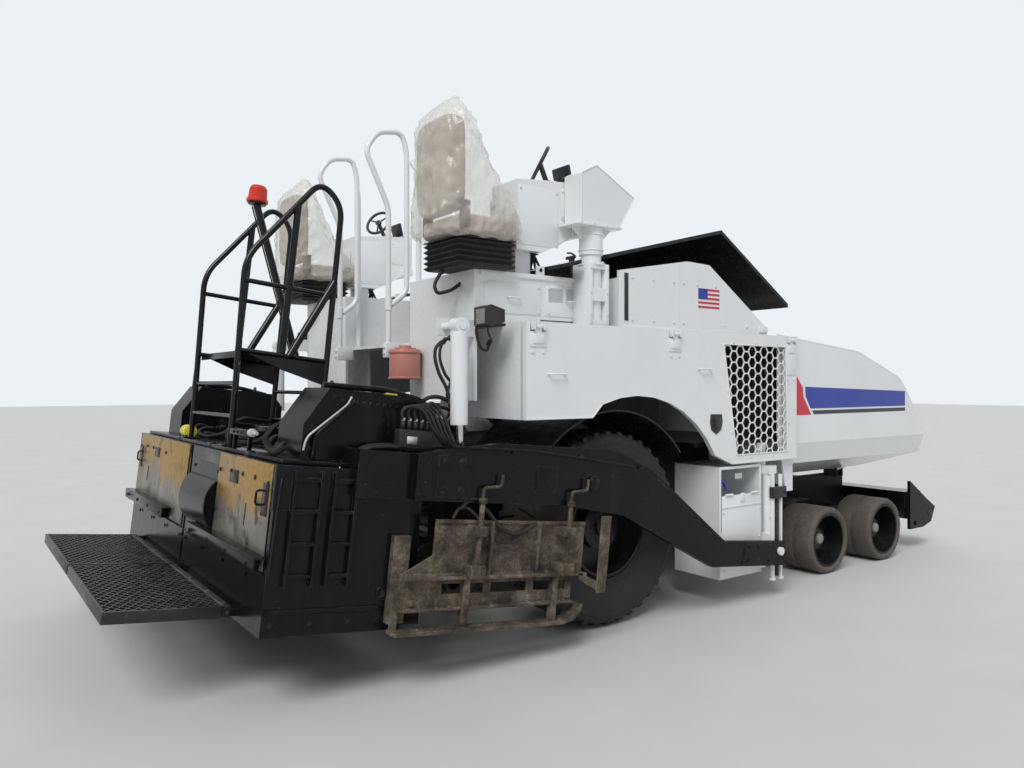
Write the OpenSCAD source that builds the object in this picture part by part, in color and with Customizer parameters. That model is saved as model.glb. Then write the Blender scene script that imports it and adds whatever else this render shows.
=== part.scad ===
/* [Wheels] */
// Outer radius of a rear drive tyre
drive_r = 650; // [600:5:680]
// Width of a rear drive tyre
drive_w = 430; // [360:5:440]
// Sideways place of a drive tyre's middle
drive_y = 1215; // [1200:5:1230]
// Radius of the drive tyre's bead, where the rim seats
drive_rim_r = 322; // [290:1:340]
// Outer radius of a front bogie tyre
front_r = 280; // [265:1:290]
// Width of a front bogie tyre
front_w = 356; // [320:2:360]
// Radius of the front rim's seat
front_rim_r = 223; // [205:1:230]
// Fore and aft place of the rear one of the two front wheels
bogie_x = 2514; // [2480:1:2540]
// Distance between the two wheels of one bogie
bogie_step = 878; // [850:1:900]
// Sideways place of a front wheel's middle
front_y = 1242; // [1230:1:1260]
// Sideways place of a kingpin
kingpin_y = 985; // [975:1:990]
// Height of the drive axle above the ground
drive_z = 650; // [620:1:680]

/* [Body] */
// Half the width over the side doors
door_y = 1540; // [1530:1:1560]
// Thickness of a side door
door_t = 38; // [30:1:45]
// Rear end of the side doors
door_rear = -785; // [-820:5:-750]
// Front end of the side doors
door_front = 1865; // [1840:1:1880]
// Height of the body's top shelf
shelf_z = 1970; // [1940:5:2000]
// Height of a side door's lower rear edge
door_low_z = 1386; // [1360:2:1400]
// Wall of the body's sheet panels
sheet = 20; // [12:1:24]
// Half the width over the engine hood
hood_y = 1455; // [1430:5:1465]
// Height of the hood wall at its peak
hood_top = 2470; // [2440:5:2500]
// Rear end of the hood
hood_rear = 40; // [20:5:80]
// Front end of the hood at its foot
hood_front = 1605; // [1580:5:1620]
// Angle that the hood lid stands open
lid_open = 5; // [4:0.5:6]

/* [Frame] */
// Half the width over the frame's side plates
frame_y = 670; // [650:5:690]
// Thickness of a frame plate
plate = 30; // [20:1:35]
// Rear end of the frame plates
frame_rear = -930; // [-950:5:-900]
// Front end of the frame plates
frame_front = 3960; // [3930:5:3990]
// Height of the conveyor floor
floor_z = 620; // [600:5:640]

/* [Hopper] */
// Half the width over the hopper wings
wing_y = 1490; // [1470:5:1495]
// Rear end of the wings
wing_rear = 1905; // [1900:1:1930]
// Wall of a hopper wing
wing_t = 16; // [12:1:20]
// Sideways place of a wing's hinge
wing_hinge_y = 745; // [735:1:760]
// Height of a wing's hinge
wing_hinge_z = 770; // [755:5:790]

/* [Screed] */
// Angle that the raised screed hangs nose down about its tow points
screed_tilt = 6.6; // [6:0.1:7]
// Fore and aft place of the tow points
tow_x = 1500; // [1480:5:1520]
// Height of the tow points
tow_z = 356; // [340:2:380]
// Sideways place of a tow arm's middle
tow_y = 1620; // [1615:1:1640]
// Thickness of a tow arm
tow_t = 50; // [40:2:54]
// Depth of the walkway's grating
walk_d = 590; // [540:10:620]

/* [Clearances] */
// Gap between two seated pieces
seat_gap = 0.3; // [0.2:0.05:0.5]
// Gap between pieces that move past each other
run_gap = 12; // [8:1:15]
// Radial clearance of a pin in its eye
pin_gap = 0.5; // [0.3:0.1:1]
// Play of the lift eye on its pin, which lets the screed float
lift_play = 5.6; // [5.2:0.1:8]

/* [Hidden] */
$fn = 48;
eps = 1;

// Fore and aft reach, and the origin halfway along it
roller_r = 97;
roller_x = 4376;
roller_z = 330;
front_reach = roller_x + roller_r;
walk_in = [-2368, 33];
walk_t = 60;
walk_out = [walk_in[0] - walk_d, walk_in[1] - walk_t];
function about_tow(p, a) = [tow_x + (p[0] - tow_x) * cos(a) - (p[1] - tow_z) * sin(a),
  tow_z + (p[0] - tow_x) * sin(a) + (p[1] - tow_z) * cos(a)];
rear_reach = about_tow(walk_out, -screed_tilt)[0];
mid_x = (front_reach + rear_reach) / 2;

// Placing in the machine's frame
module place() translate([-mid_x, 0, 0]) children();
// Outline in x and z, drawn as a plate from y0 to y1
module slab(y0, y1) translate([0, max(y0, y1), 0]) rotate([90, 0, 0])
  linear_extrude(abs(y1 - y0)) children();
module box(x0, x1, y0, y1, z0, z1) translate([min(x0, x1), min(y0, y1), min(z0, z1)])
  cube([abs(x1 - x0), abs(y1 - y0), abs(z1 - z0)]);
module rod_y(x, z, y0, y1, r) translate([x, max(y0, y1), z]) rotate([90, 0, 0])
  cylinder(r = r, h = abs(y1 - y0));
module rod_x(y, z, x0, x1, r) translate([min(x0, x1), y, z]) rotate([0, 90, 0])
  cylinder(r = r, h = abs(x1 - x0));
module rod_z(x, y, z0, z1, r) translate([x, y, min(z0, z1)]) cylinder(r = r, h = abs(z1 - z0));
function unit(v) = v / norm(v);
function bend(a, p, b, d, n) = let (s = p + d * unit(a - p), e = p + d * unit(b - p))
  [for (k = [0 : n]) let (t = k / n) (1 - t) * (1 - t) * s + 2 * t * (1 - t) * p + t * t * e];
function rounded(p, d, n) = concat([p[0]], [for (i = [1 : len(p) - 2])
  each bend(p[i - 1], p[i], p[i + 1], d, n)], [p[len(p) - 1]]);
function along(p) = [for (i = [0 : len(p) - 1]) unit((i == 0 ? [0, 0, 0] : unit(p[i] - p[i - 1]))
  + (i == len(p) - 1 ? [0, 0, 0] : unit(p[i + 1] - p[i])))];
function carried(n, t) = unit(n - (n * t) * t);
function across(t) = [for (i = 0, n = carried([0.1, 1, 0.3], t[0]); i < len(t);
  i = i + 1, n = i < len(t) ? carried(n, t[i]) : n) n];
// Round tube of radius r through the points, its corners bent over a length d
module tube(pts, r, d = 60, sides = 8, n = 3) {
  p = rounded(pts, d, n);
  t = along(p);
  u = across(t);
  last = len(p) * sides;
  polyhedron([for (i = [0 : len(p) - 1], k = [0 : sides - 1])
      p[i] + r * cos(360 * k / sides) * u[i] + r * sin(360 * k / sides) * cross(t[i], u[i])],
    concat([[for (k = [0 : sides - 1]) k]], [[for (k = [sides - 1 : -1 : 0]) last - sides + k]],
      [for (i = [0 : len(p) - 2], k = [0 : sides - 1]) let (a = i * sides, b = (k + 1) % sides)
        each [[a + k, a + sides + b, a + b], [a + k, a + sides + k, a + sides + b]]]));
}
// Everything on the screed is drawn level and then hung nose down
module hang() translate([tow_x, 0, tow_z]) rotate([0, screed_tilt, 0])
  translate([-tow_x, 0, -tow_z]) children();

arch_c = [0, drive_z];
arch_r = 770;
door_hinges = [-700, 480, 1790];
door_pin_y = door_y + 8;
door_pin_z = shelf_z - 30;
door_pin_r = 8;
front_x = [bogie_x, bogie_x + bogie_step];
beam_x = bogie_x + bogie_step / 2;

// Frame: two side plates, cross plates, engine floor and the bogie pivots
frame_side = [[frame_rear, 420], [-700, 330], [1450, 330], [1900, 420], [frame_front - plate, 330],
  [frame_front - plate, wing_hinge_z - 60], [door_front - seat_gap, wing_hinge_z - 60],
  [door_front - seat_gap, 1180],
  [frame_rear, 1180]];
eye_r = 26;
eye_x = 1700;
eye_y = 740;
eye_z = 375;
// Hinges of the hopper wings: fore and aft places
wing_hinges = [2050, 2850, 3700];
wing_pin_r = 20;
module main_frame() color("dimgray") union() {
  for (s = [-1, 1]) {
    slab(s * (frame_y - plate), s * frame_y) polygon(frame_side);
    // Engine floor's outer shelf that carries the body
    box(arch_r, 1820, s * (frame_y - eps), s * (door_y - door_t - 40), 1180 - plate, 1180);
  }
  for (s = [-1, 1], x = wing_hinges, d = [-60, 40]) difference() {
    box(x + d, x + d + 20, s * (frame_y - plate + eps), s * (wing_hinge_y + 34), 680, wing_hinge_z + 28);
    rod_x(s * wing_hinge_y, wing_hinge_z, x - 100, x + 100, wing_pin_r + pin_gap);
  }
  box(-900, 1820, -frame_y + eps, frame_y - eps, 1180 - plate, 1180);
  box(-900, 3900, -frame_y + eps, frame_y - eps, 350, 350 + plate);
  box(frame_front - plate - eps, frame_front, -frame_y, frame_y, 330, floor_z - 160);
  // Tie-down lugs on the side plates
  for (s = [-1, 1]) difference() {
    box(eye_x - 60, eye_x + 60, s * (frame_y - eps), s * (eye_y + 60), eye_z - plate / 2, eye_z + plate / 2);
    rod_z(eye_x, s * eye_y, eye_z - 100, eye_z + 100, eye_r);
  }
}

module engine_block() color("darkgray")
  box(560, 1500, -420, 420, 1180 + seat_gap, 1950);

chain_r = 75;
chain_t = 28;
chain_z = floor_z + seat_gap + chain_t - chain_r;
shaft_x = [frame_rear + 90, frame_front - 130];
module conveyor_floor() color("gray") {
  box(shaft_x[0] + 90, shaft_x[1] - 90, -frame_y + plate + seat_gap, frame_y - plate - seat_gap,
    floor_z - 20, floor_z);
  // Chain case between the two conveyors
  box(shaft_x[0] + 90, shaft_x[1] - 90, -55, 55, floor_z - eps, floor_z + 130);
  for (x = shaft_x) rod_y(x, chain_z, -frame_y + plate + seat_gap, frame_y - plate - seat_gap, 40);
}

module chain_loop() difference() {
  union() {
    for (x = shaft_x) translate([x, chain_z]) circle(chain_r);
    translate([shaft_x[0], chain_z - chain_r]) square([shaft_x[1] - shaft_x[0], 2 * chain_r]);
  }
  for (x = shaft_x) translate([x, chain_z]) circle(chain_r - chain_t);
  translate([shaft_x[0], chain_z - chain_r + chain_t])
    square([shaft_x[1] - shaft_x[0], 2 * (chain_r - chain_t)]);
}
slat_step = 300;
module conveyor_chains() color("dimgray") for (s = [-1, 1]) {
  for (y = [75, frame_y - plate - 55]) slab(s * y, s * (y + 35)) chain_loop();
  for (x = [shaft_x[0] : slat_step : shaft_x[1]], z = [chain_z + chain_r - chain_t, chain_z - chain_r])
    box(x, x + 40, s * 80, s * (frame_y - plate - 25), z + 2, z + chain_t - 2);
}

// Fixed side, rear and front panels of the tractor's body
module body_shell() color("white") {
  // Top shelf beside the hood and the platform
  for (s = [-1, 1]) {
    box(door_rear, door_front + 20, s * (door_y - door_t - 2 * run_gap), s * 1330, shelf_z - sheet, shelf_z);
    // Outer wall under the shelf at the rear, and the panel behind the hopper
    box(door_rear, door_rear + sheet, s * (door_y - door_t - 2 * run_gap), s * 560, door_low_z, shelf_z - sheet + eps);
    // Liner over the drive tyre
    slab(s * (frame_y + seat_gap), s * (door_y - door_t - 3 * run_gap)) intersection() {
      translate(arch_c) difference() {
        circle(arch_r + 12);
        circle(arch_r);
      }
      translate([-1000, 1150 - plate]) square([2000, 900]);
    }
    for (x = door_hinges) difference() {
      union() for (d = [-46, 32])
        box(x + d, x + d + 14, s * 1440, s * (door_pin_y + 16), 1921, shelf_z);
      rod_x(s * door_pin_y, door_pin_z, x - 100, x + 100, door_pin_r + pin_gap);
    }
    // Lower panel ahead of the drive tyre
    difference() {
      box(960, 1440, s * 1525, s * 1100, 190, 1000);
      box(960 + sheet, 1440 - sheet, s * 1600, s * (1100 + sheet), 190 + 340, 1000 - sheet);
    }
    box(1000, 1420, s * 1110, s * (frame_y + seat_gap), 560, 600);
    // Cheek that closes the gap between the side door and the hopper wing
    slab(s * (wing_y - 16), s * wing_y)
      polygon([[1700, 1985], [door_front + 20, 1970], [door_front + 20, 760], [1800, 760], [1700, 1200]]);
  }
  // Bulkhead at the rear of the hopper
  difference() {
    box(door_front, door_front + sheet, -wing_y + 15, wing_y - 15, floor_z + 180, shelf_z);
    box(door_front - 50, door_front + 50, -frame_y + plate, frame_y - plate, floor_z, floor_z + 400);
  }
}

// Platform floor, its side boxes and the rear steps
deck_z = 1880;
module deck() color("white") {
  box(-1000, hood_rear, -540, 540, deck_z - 20, deck_z);
  for (s = [-1, 1]) {
    box(-1000, hood_rear, s * 520, s * 1310, shelf_z + seat_gap, 2285);
    box(-1000, -980, s * 520, s * 1310, 1500, shelf_z + seat_gap + eps);
    box(-1000, hood_rear, s * 520, s * 540, deck_z - 20, shelf_z + 10);
    // Cheek and pin that hold the top of a lift cylinder
    box(lift_x - 50, -990, s * 1284, s * 1308, lift_top - 50, lift_top + 50);
    rod_y(lift_x, lift_top, s * 1285, s * (lift_y + 46), lug_r);
    for (y = [600, 1285]) difference() {
      slab(s * y, s * (y + 14)) translate([lid_pin[0] - 30, 2284]) square([60, 62]);
      rod_y(lid_pin[0], lid_pin[1], -2000, 2000, lid_pin_r + pin_gap);
    }
  }
}

// Hood walls with a slope at the front, open below the lid
hood_pts = [[hood_rear, shelf_z + seat_gap], [hood_rear, 2348], [700, hood_top - 5], [935, hood_top - 12],
  [hood_front, 2030], [hood_front, shelf_z + seat_gap]];
module hood_walls() color("white") {
  for (s = [-1, 1]) slab(s * (hood_y - sheet), s * hood_y) polygon(hood_pts);
  box(hood_rear, hood_rear + sheet, -hood_y + eps, hood_y - eps, shelf_z + seat_gap, 2300);
  box(hood_front - sheet, hood_front, -hood_y + eps, hood_y - eps, shelf_z + seat_gap, 2030);
  // Front panel's foot behind the hopper, below the lid's lip
  box(door_front - 10, door_front + 20, -hood_y + 60, hood_y - 60, shelf_z + seat_gap, 1985);
}

stack_x = -154;
stack_y = -1396;
stack_r = 78;
module vent_stack() color("white") {
  box(stack_x - 85, stack_x + 85, stack_y - 82, stack_y + 82, shelf_z + seat_gap, 2150);
  difference() {
    union() {
      rod_z(stack_x, stack_y, 2150 - eps, 2600, stack_r);
      rod_z(stack_x, stack_y, 2400, 2570, stack_r + 14);
      slab(stack_y - 80, stack_y + 80)
        polygon([[-275, 2590], [-275, 2945], [-190, 2985], [195, 2840], [60, 2600]]);
    }
    rod_z(stack_x, stack_y, 2200, 2610, stack_r - 6);
  }
}

rail_r = 19;
module handrails() color("white") for (s = [-1, 1]) {
  tube([[-1100, s * 400, deck_z - 90], [-1100, s * 400, 2800], [-1272, s * 400, 3165],
    [-1180, s * 400, 3300], [-1000, s * 400, 3330], [-960, s * 400, 3200], [-960, s * 400, 2230],
    [-1100 + rail_r + seat_gap, s * 400, 2140]], rail_r);
  tube([[-910, s * 480, deck_z + seat_gap], [-910, s * 480, 3050], [-945, s * 435, 3130]],
    rail_r, 40);
  box(-1130, -1000 - seat_gap, s * 375, s * 425, deck_z - 100, deck_z);
}

// Cross beam for the truck's push rollers, on two brackets with a tie-down eye each
beam_eye = [4090, 252];
module push_beam() color("black") {
  box(frame_front + seat_gap, 4190, -1300, 1300, 400, 560);
  for (s = [-1, 1]) {
    difference() {
      slab(s * 1305, s * 1335) polygon([[4000, 200], [4000, 665], [4300, 480], [4480, 380], [4400, 240], [4250, 200]]);
      rod_y(roller_x, roller_z, -2000, 2000, 34);
      rod_y(beam_eye[0], beam_eye[1], -2000, 2000, eye_r);
    }
    difference() {
      slab(s * 60, s * 90) polygon([[4000, 200], [4000, 600], [4300, 480], [4480, 380], [4400, 240], [4250, 200]]);
      rod_y(roller_x, roller_z, -2000, 2000, 34);
    }
    for (y = [60, 1275]) box(4000, 4190, s * y, s * (y + 60), 300, 560);
  }
}

module push_roller(s) color("black") {
  rod_y(roller_x, roller_z, s * 105, s * 1290, roller_r);
  rod_y(roller_x, roller_z, s * 50, s * 1340, 34 - pin_gap);
}

// Walking beams with kingpin brackets, and the drive axle's housings
hub_r = 190;
module axles() color("black") for (s = [-1, 1]) {
  slab(s * 740, s * 880) polygon([[bogie_x - 130, 195], [bogie_x - 130, 420], [beam_x - 120, 520],
    [beam_x + 120, 520], [front_x[1] + 130, 420], [front_x[1] + 130, 195]]);
  rod_y(beam_x, 440, s * (frame_y + seat_gap), s * 745, 90);
  for (x = front_x) difference() {
    union() {
      box(x - 60, x + 60, s * 875, s * (kingpin_y + 50), 195, 225);
      box(x - 60, x + 60, s * 875, s * (kingpin_y + 50), 395, 425);
    }
    rod_z(x, s * kingpin_y, 150, 500, 25);
  }
  rod_y(0, drive_z, s * (frame_y + seat_gap), s * 1010, hub_r);
  rod_y(0, drive_z, s * 1000, s * 1240, 60);
}

module knuckle(x, s) color("dimgray") {
  rod_z(x, s * kingpin_y, 185, 435, 25 - pin_gap);
  rod_z(x, s * kingpin_y, 232, 388, 45);
  rod_y(x, front_r, s * kingpin_y, s * 1300, 38);
}

module ring_y(x, z, y0, y1, ro, ri) difference() {
  rod_y(x, z, y0, y1, ro);
  rod_y(x, z, min(y0, y1) - eps, max(y0, y1) + eps, ri);
}
module front_tyre(x, s) color("saddlebrown") ring_y(x, front_r, s * (front_y - front_w / 2),
  s * (front_y + front_w / 2), front_r, front_rim_r + seat_gap);
module front_rim(x, s) color("black") {
  ring_y(x, front_r, s * (front_y - front_w / 2 + 12), s * (front_y + front_w / 2 - 12),
    front_rim_r, front_rim_r - 16);
  ring_y(x, front_r, s * (front_y - 10), s * (front_y + 14), front_rim_r - 15, 38 + pin_gap);
  ring_y(x, front_r, s * (front_y - 60), s * (front_y + 70), 80, 38 + pin_gap);
}

module drive_tyre(s) color("#2b2a28") rotate_tyre(s);
module rotate_tyre(s) translate([0, s * drive_y, drive_z]) rotate([90, 0, 0]) difference() {
  rotate_extrude($fn = 96) tyre_section();
  translate([0, 0, -500]) cylinder(r = drive_rim_r + seat_gap, h = 1000);
}
module tyre_section() polygon([[drive_rim_r - 10, -drive_w / 2 + 70], [drive_rim_r + 60, -drive_w / 2 + 25],
  [drive_rim_r + 190, -drive_w / 2], [drive_r - 50, -drive_w / 2 + 10], [drive_r, -drive_w / 2 + 70],
  [drive_r, drive_w / 2 - 70], [drive_r - 50, drive_w / 2 - 10], [drive_rim_r + 190, drive_w / 2],
  [drive_rim_r + 60, drive_w / 2 - 25], [drive_rim_r - 10, drive_w / 2 - 70]]);
module drive_rim(s) color("black") {
  ring_y(0, drive_z, s * (drive_y - drive_w / 2 + 40), s * (drive_y + drive_w / 2 - 40), drive_rim_r, drive_rim_r - 18);
  ring_y(0, drive_z, s * (drive_y + 10), s * (drive_y + 40), drive_rim_r - 17, 60 + pin_gap);
  ring_y(0, drive_z, s * (drive_y - 100), s * (drive_y + 110), 150, 60 + pin_gap);
}

// Hangers and outer bearing plates of the augers, at the frame's rear
auger_x = -1165;
auger_z = 450;
auger_r = 190;
module auger_frame() color("black") {
  box(frame_rear - 40, frame_rear - seat_gap, -frame_y, frame_y, 1000, 1150);
  for (s = [-1, 1]) {
    difference() {
      slab(s * 40, s * 62) polygon([[frame_rear - 39, 1140], [frame_rear - 39, 1010], [auger_x + 60, auger_z - 60],
        [auger_x - 60, auger_z - 60], [auger_x - 60, auger_z + 60], [auger_x + 60, 1140]]);
      rod_y(auger_x, auger_z, -2000, 2000, 40);
    }
  }
}
module auger(s) color("dimgray") {
  rod_y(auger_x, auger_z, s * 30, s * 1350, 40 - pin_gap);
  rod_y(auger_x, auger_z, s * 75, s * 1350, 60);
  for (i = [0 : 4]) rod_y(auger_x, auger_z, s * (160 + 250 * i), s * (172 + 250 * i), auger_r);
}

module tow_columns() color("white") for (s = [-1, 1]) {
  rod_z(tow_x, s * 1545, 470, 930, 42);
  box(tow_x - 45, tow_x + 45, s * 1460, s * 1585, 925, 985);
  box(tow_x - 20, tow_x + 80, s * 1430, s * 1462, 190, 1180 - plate - seat_gap);
  rod_y(tow_x, tow_z, s * 1500, s * (tow_y + tow_t / 2 + 20), 30);
  box(tow_x - 45, tow_x + 45, s * 1455, s * 1585, 290, 480);
}

module lamps() color("black") for (s = [-1, 1])
{
  box(-960, -830, s * 1350, s * 1470, shelf_z, 2070);
  box(-905, -885, s * (1310 + seat_gap), s * 1351, 2000, 2040);
}

module canister() color("indianred") rod_z(-1000 - 108 - seat_gap, -650, 1630, 1825, 108);

seat_x = -965;
seat_y = 1200;
module seat_shape(s, g) {
  box(seat_x - 200 - g, seat_x + 200 + g, s * (seat_y - 200 - g), s * (seat_y + 200 + g), 2285 + seat_gap, 2461);
  box(seat_x - 230 - g, seat_x + 250 + g, s * (seat_y - 230 - g), s * (seat_y + 230 + g), 2460 - g, 2600 + g);
  box(seat_x - 270 - g, seat_x - 140 + g, s * (seat_y - 220 - g), s * (seat_y + 220 + g), 2590, 3190 + g);
}
module seats() color("#3a3a3a") for (s = [-1, 1]) seat_shape(s, 0);
module seat_covers() color("beige") for (s = [-1, 1]) difference() {
  hull() {
    box(seat_x - 320, seat_x + 270, s * (seat_y - 250), s * (seat_y + 250), 2470, 2640);
    box(seat_x - 300, seat_x - 20, s * (seat_y - 240), s * (seat_y + 240), 3050, 3100);
    box(seat_x - 120, seat_x - 60, s * (seat_y - 60), s * (seat_y + 20), 3310, 3330);
  }
  seat_shape(s, seat_gap);
}
module consoles() color("white") for (s = [-1, 1]) {
  slab(s * 1040, s * 1305)
    polygon([[-685, 2436], [-685, 2867], [-250, 2910], [-250, 2560], [-334, 2498], [-481, 2432]]);
  box(-640, -520, s * 1110, s * 1230, 2285 + seat_gap, 2436 + eps);
}

module door_outline() polygon(concat([[door_rear, shelf_z], [door_rear, door_low_z], [-268, door_low_z]],
  [for (a = [110 : -10 : 30]) [arch_c[0] + 120 + 900 * cos(a), arch_c[1] + 880 * sin(a)]],
  [[1090, 1016], [door_front, 1016], [door_front, shelf_z]]));
module door(s) color("white") {
  door_skin(s);
  door_straps(s);
}
module door_skin(s) difference() {
  slab(s * door_y, s * (door_y - door_t)) door_outline();
  slab(s * (door_y + 10), s * (door_y - door_t - 10)) polygon([[988, 1887], [1723, 1887], [1748, 1081], [1134, 1081]]);
  for (x = door_hinges) box(x - 58, x + 58, s * (door_y + 1), s * (door_y - door_t - 1), 1912, shelf_z + 1);
}
// Hinge straps and pins of a side door
module door_straps(s) for (x = door_hinges) {
  box(x - 24, x + 24, s * (door_y - 1), s * door_pin_y, 1850, door_pin_z);
  rod_x(s * door_pin_y, door_pin_z, x - 24, x + 24, 14);
  rod_x(s * door_pin_y, door_pin_z, x - 48, x + 48, door_pin_r);
}

lid_pin = [-490, 2320];
lid_t = 24;
lid_pts = [[-440, 2342], [1098, 2590], [1858, 2030]];
lid_pin_r = 12;
module hood_lid() color("white") translate([lid_pin[0], 0, lid_pin[1]]) rotate([0, -lid_open, 0])
  translate([-lid_pin[0], 0, -lid_pin[1]]) {
  for (s = [-1, 1]) {
    rod_y(lid_pin[0], lid_pin[1], s * 585, s * 1302, lid_pin_r);
    box(lid_pin[0], lid_pts[0][0] + eps, s * 640, s * 1260, lid_pin[1] - 2, lid_pin[1] + 10);
  }
  difference() {
  slab(-hood_y, hood_y) polygon([lid_pts[0], lid_pts[1], lid_pts[2],
    lid_pts[2] - [0, 1.25 * lid_t], lid_pts[1] - [6, 1.1 * lid_t], lid_pts[0] - [0, lid_t]]);
    // Notch round the vent stack
    box(stack_x - 125, stack_x + 115, stack_y - 100, stack_y + 105, 2200, 2600);
  }
}

wing_side = [[wing_rear, 1962], [2829, 1877], [3507, 1657], [3630, 1540], [3824, 1306], [3960, 1118],
  [3945, 916], [2761, 745], [wing_rear, 752]];
module wing(s) color("white") {
  slab(s * wing_y, s * (wing_y - wing_t)) polygon([wing_side[0], wing_side[1], wing_side[2], wing_side[3],
    wing_side[4], wing_side[5], [3950, 1010], [wing_rear, 1010]]);
  // Sloping floor from the wall down to the hinge
  translate([wing_rear, 0, 0]) rotate([90, 0, 90]) linear_extrude(3940 - wing_rear)
    polygon([[s * (wing_y - wing_t), 1010], [s * wing_y, 1010], [s * (wing_hinge_y + 75), wing_hinge_z + 5],
      [s * (wing_hinge_y + 50), wing_hinge_z + 15]]);
  for (x = wing_hinges) {
    box(x - 38, x + 38, s * (wing_hinge_y + 20), s * (wing_hinge_y + 68), wing_hinge_z - 6, wing_hinge_z + 14);
    rod_x(s * wing_hinge_y, wing_hinge_z, x - 38, x + 38, 32);
    rod_x(s * wing_hinge_y, wing_hinge_z, x - 64, x + 64, wing_pin_r);
  }
}

// Screed, drawn level; the tow arms, the box and all that it carries hang nose down
lift_x = -1200;
lift_y = 1460;
lift_top = 1930;
lift_low = 1180;
lug_r = 25;
bar_x = -2110;
bar_z = [360, 600];
bar_r = 28;
ext_x = [-2340, -1975];
ext_top = 720;
module tow_arms() color("black") for (s = [-1, 1]) {
  hang() difference() {
    slab(s * (tow_y - tow_t / 2), s * (tow_y + tow_t / 2))
      polygon([[-2000, 900], [-2000, 620], [-1500, 610], [-100, 600], [0, 560], [750, 250], [1560, 250],
        [1560, 430], [880, 430], [330, 900], [0, 960], [-900, 900]]);
    rod_y(tow_x, tow_z, -3000, 3000, 30 + pin_gap);
  }
  rod_y(lift_x, lift_low, s * (lift_y - 60), s * tow_y, lug_r);
}
module screed_frame() color("#1d1d1d") hang() {
  box(-1950, -1450, -1480, 1480, -40, 300);
  for (s = [-1, 1]) {
    box(-1950, -1500, s * 1380, s * 1480, 290, 880);
    box(-1950, -1500, s * 1470, s * (tow_y - tow_t / 2), 640, 880);
    box(bar_x - 45, -1940, s * 1400, s * 1440, 310, 660);
    for (z = bar_z) rod_y(bar_x, z, 0, s * 1401, bar_r);
    box(-1950, -1500, s * 300, s * 330, 290, 800);
  }
  box(-2300, -1500, -520, 520, 780, 800);
}
module screed_rails() color("black") hang() for (s = [-1, 1])
  tube([[-2250, s * 450, 800 + seat_gap], [-2250, s * 450, 1000], [-2286, s * 450, 1937],
    [-1870, s * 450, 2518], [-1715, s * 450, 2398], [-1700, s * 450, 1000],
    [-1700, s * 450, 800 + seat_gap]], rail_r);
module beacon() color("orangered") hang() {
  rod_z(-2150, 0, 800 + seat_gap, 2420, 25);
  rod_z(-2150, 0, 2400, 2520, 70);
}
module extension(s) color("#1d1d1d") hang() {
  difference() {
    union() {
      box(ext_x[0], ext_x[1], s * 20, s * 1506, -40, 250);
      box(ext_x[0], ext_x[0] + 25, s * 20, s * 1506, 240, ext_top);
      box(ext_x[0], bar_x + 60, s * 30, s * 150, 240, 660);
    }
    for (z = bar_z) rod_y(bar_x, z, -1700, 1700, bar_r + pin_gap);
  }
  box(ext_x[0], -1600, s * 1505, s * 1545, -40, 570);
  // Lugs of the walkway's hinge
  for (y = [6, 1183]) difference() {
    box(walk_pin[0] - 18, ext_x[0] + eps, s * y, s * (y + 11), walk_pin[1] - 18, walk_pin[1] + 18);
    rod_y(walk_pin[0], walk_pin[1], -1500, 1500, walk_pin_r + pin_gap);
  }
}
module end_gate(s) color("dimgray") hang() {
  box(-1630, -410, s * 1590, s * 1604, -66, 545);
  box(-1700, -1605, s * (1545 + seat_gap), s * 1591, 0, 450);
  box(-1630, -410, s * 1603, s * 1650, 180, 230);
}
walk_pin = [walk_in[0] - 20, walk_in[1] - 30];
walk_pin_r = 10;
module walkway(s) color("black") hang() {
  box(walk_out[0], walk_in[0], s * 20, s * 1180, walk_in[1] - walk_t, walk_in[1]);
  rod_y(walk_pin[0], walk_pin[1], s * 4, s * 1196, walk_pin_r);
}

module lift_barrels() color("white") for (s = [-1, 1]) difference() {
  union() {
    rod_z(lift_x, s * lift_y, 1370, 1895, 50);
    rod_y(lift_x, lift_top, s * (lift_y - 40), s * (lift_y + 40), 45);
  }
  rod_z(lift_x, s * lift_y, 1300, 1880, 25 + pin_gap);
  rod_y(lift_x, lift_top, s * (lift_y - 100), s * (lift_y + 100), lug_r + pin_gap);
}
module lift_rods() color("silver") for (s = [-1, 1]) difference() {
  union() {
    rod_z(lift_x, s * lift_y, lift_low + 20, 1800, 25);
    rod_y(lift_x, lift_low, s * (lift_y - 35), s * (lift_y + 35), 45);
  }
  rod_y(lift_x, lift_low, s * (lift_y - 100), s * (lift_y + 100), lug_r + lift_play);
}
place() main_frame();
place() engine_block();
place() conveyor_floor();
place() conveyor_chains();
place() body_shell();
place() deck();
place() hood_walls();
place() vent_stack();
place() handrails();
place() push_beam();
place() axles();
place() auger_frame();
place() tow_columns();
place() lamps();
place() canister();
place() seats();
place() consoles();
place() seat_covers();
place() door(1);  // door_left
place() door(-1);  // door_right
place() hood_lid();
place() wing(1);  // wing_left
place() wing(-1);  // wing_right
place() drive_tyre(1);  // drive_tyre_left
place() drive_tyre(-1);  // drive_tyre_right
place() drive_rim(1);  // drive_rim_left
place() drive_rim(-1);  // drive_rim_right
place() front_tyre(front_x[0], 1);  // front_tyre_1
place() front_tyre(front_x[1], 1);  // front_tyre_2
place() front_tyre(front_x[0], -1);  // front_tyre_3
place() front_tyre(front_x[1], -1);  // front_tyre_4
place() front_rim(front_x[0], 1);  // front_rim_1
place() front_rim(front_x[1], 1);  // front_rim_2
place() front_rim(front_x[0], -1);  // front_rim_3
place() front_rim(front_x[1], -1);  // front_rim_4
place() knuckle(front_x[0], 1);  // knuckle_1
place() knuckle(front_x[1], 1);  // knuckle_2
place() knuckle(front_x[0], -1);  // knuckle_3
place() knuckle(front_x[1], -1);  // knuckle_4
place() push_roller(1);  // push_roller_left
place() push_roller(-1);  // push_roller_right
place() auger(1);  // auger_left
place() auger(-1);  // auger_right
place() tow_arms();
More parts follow.
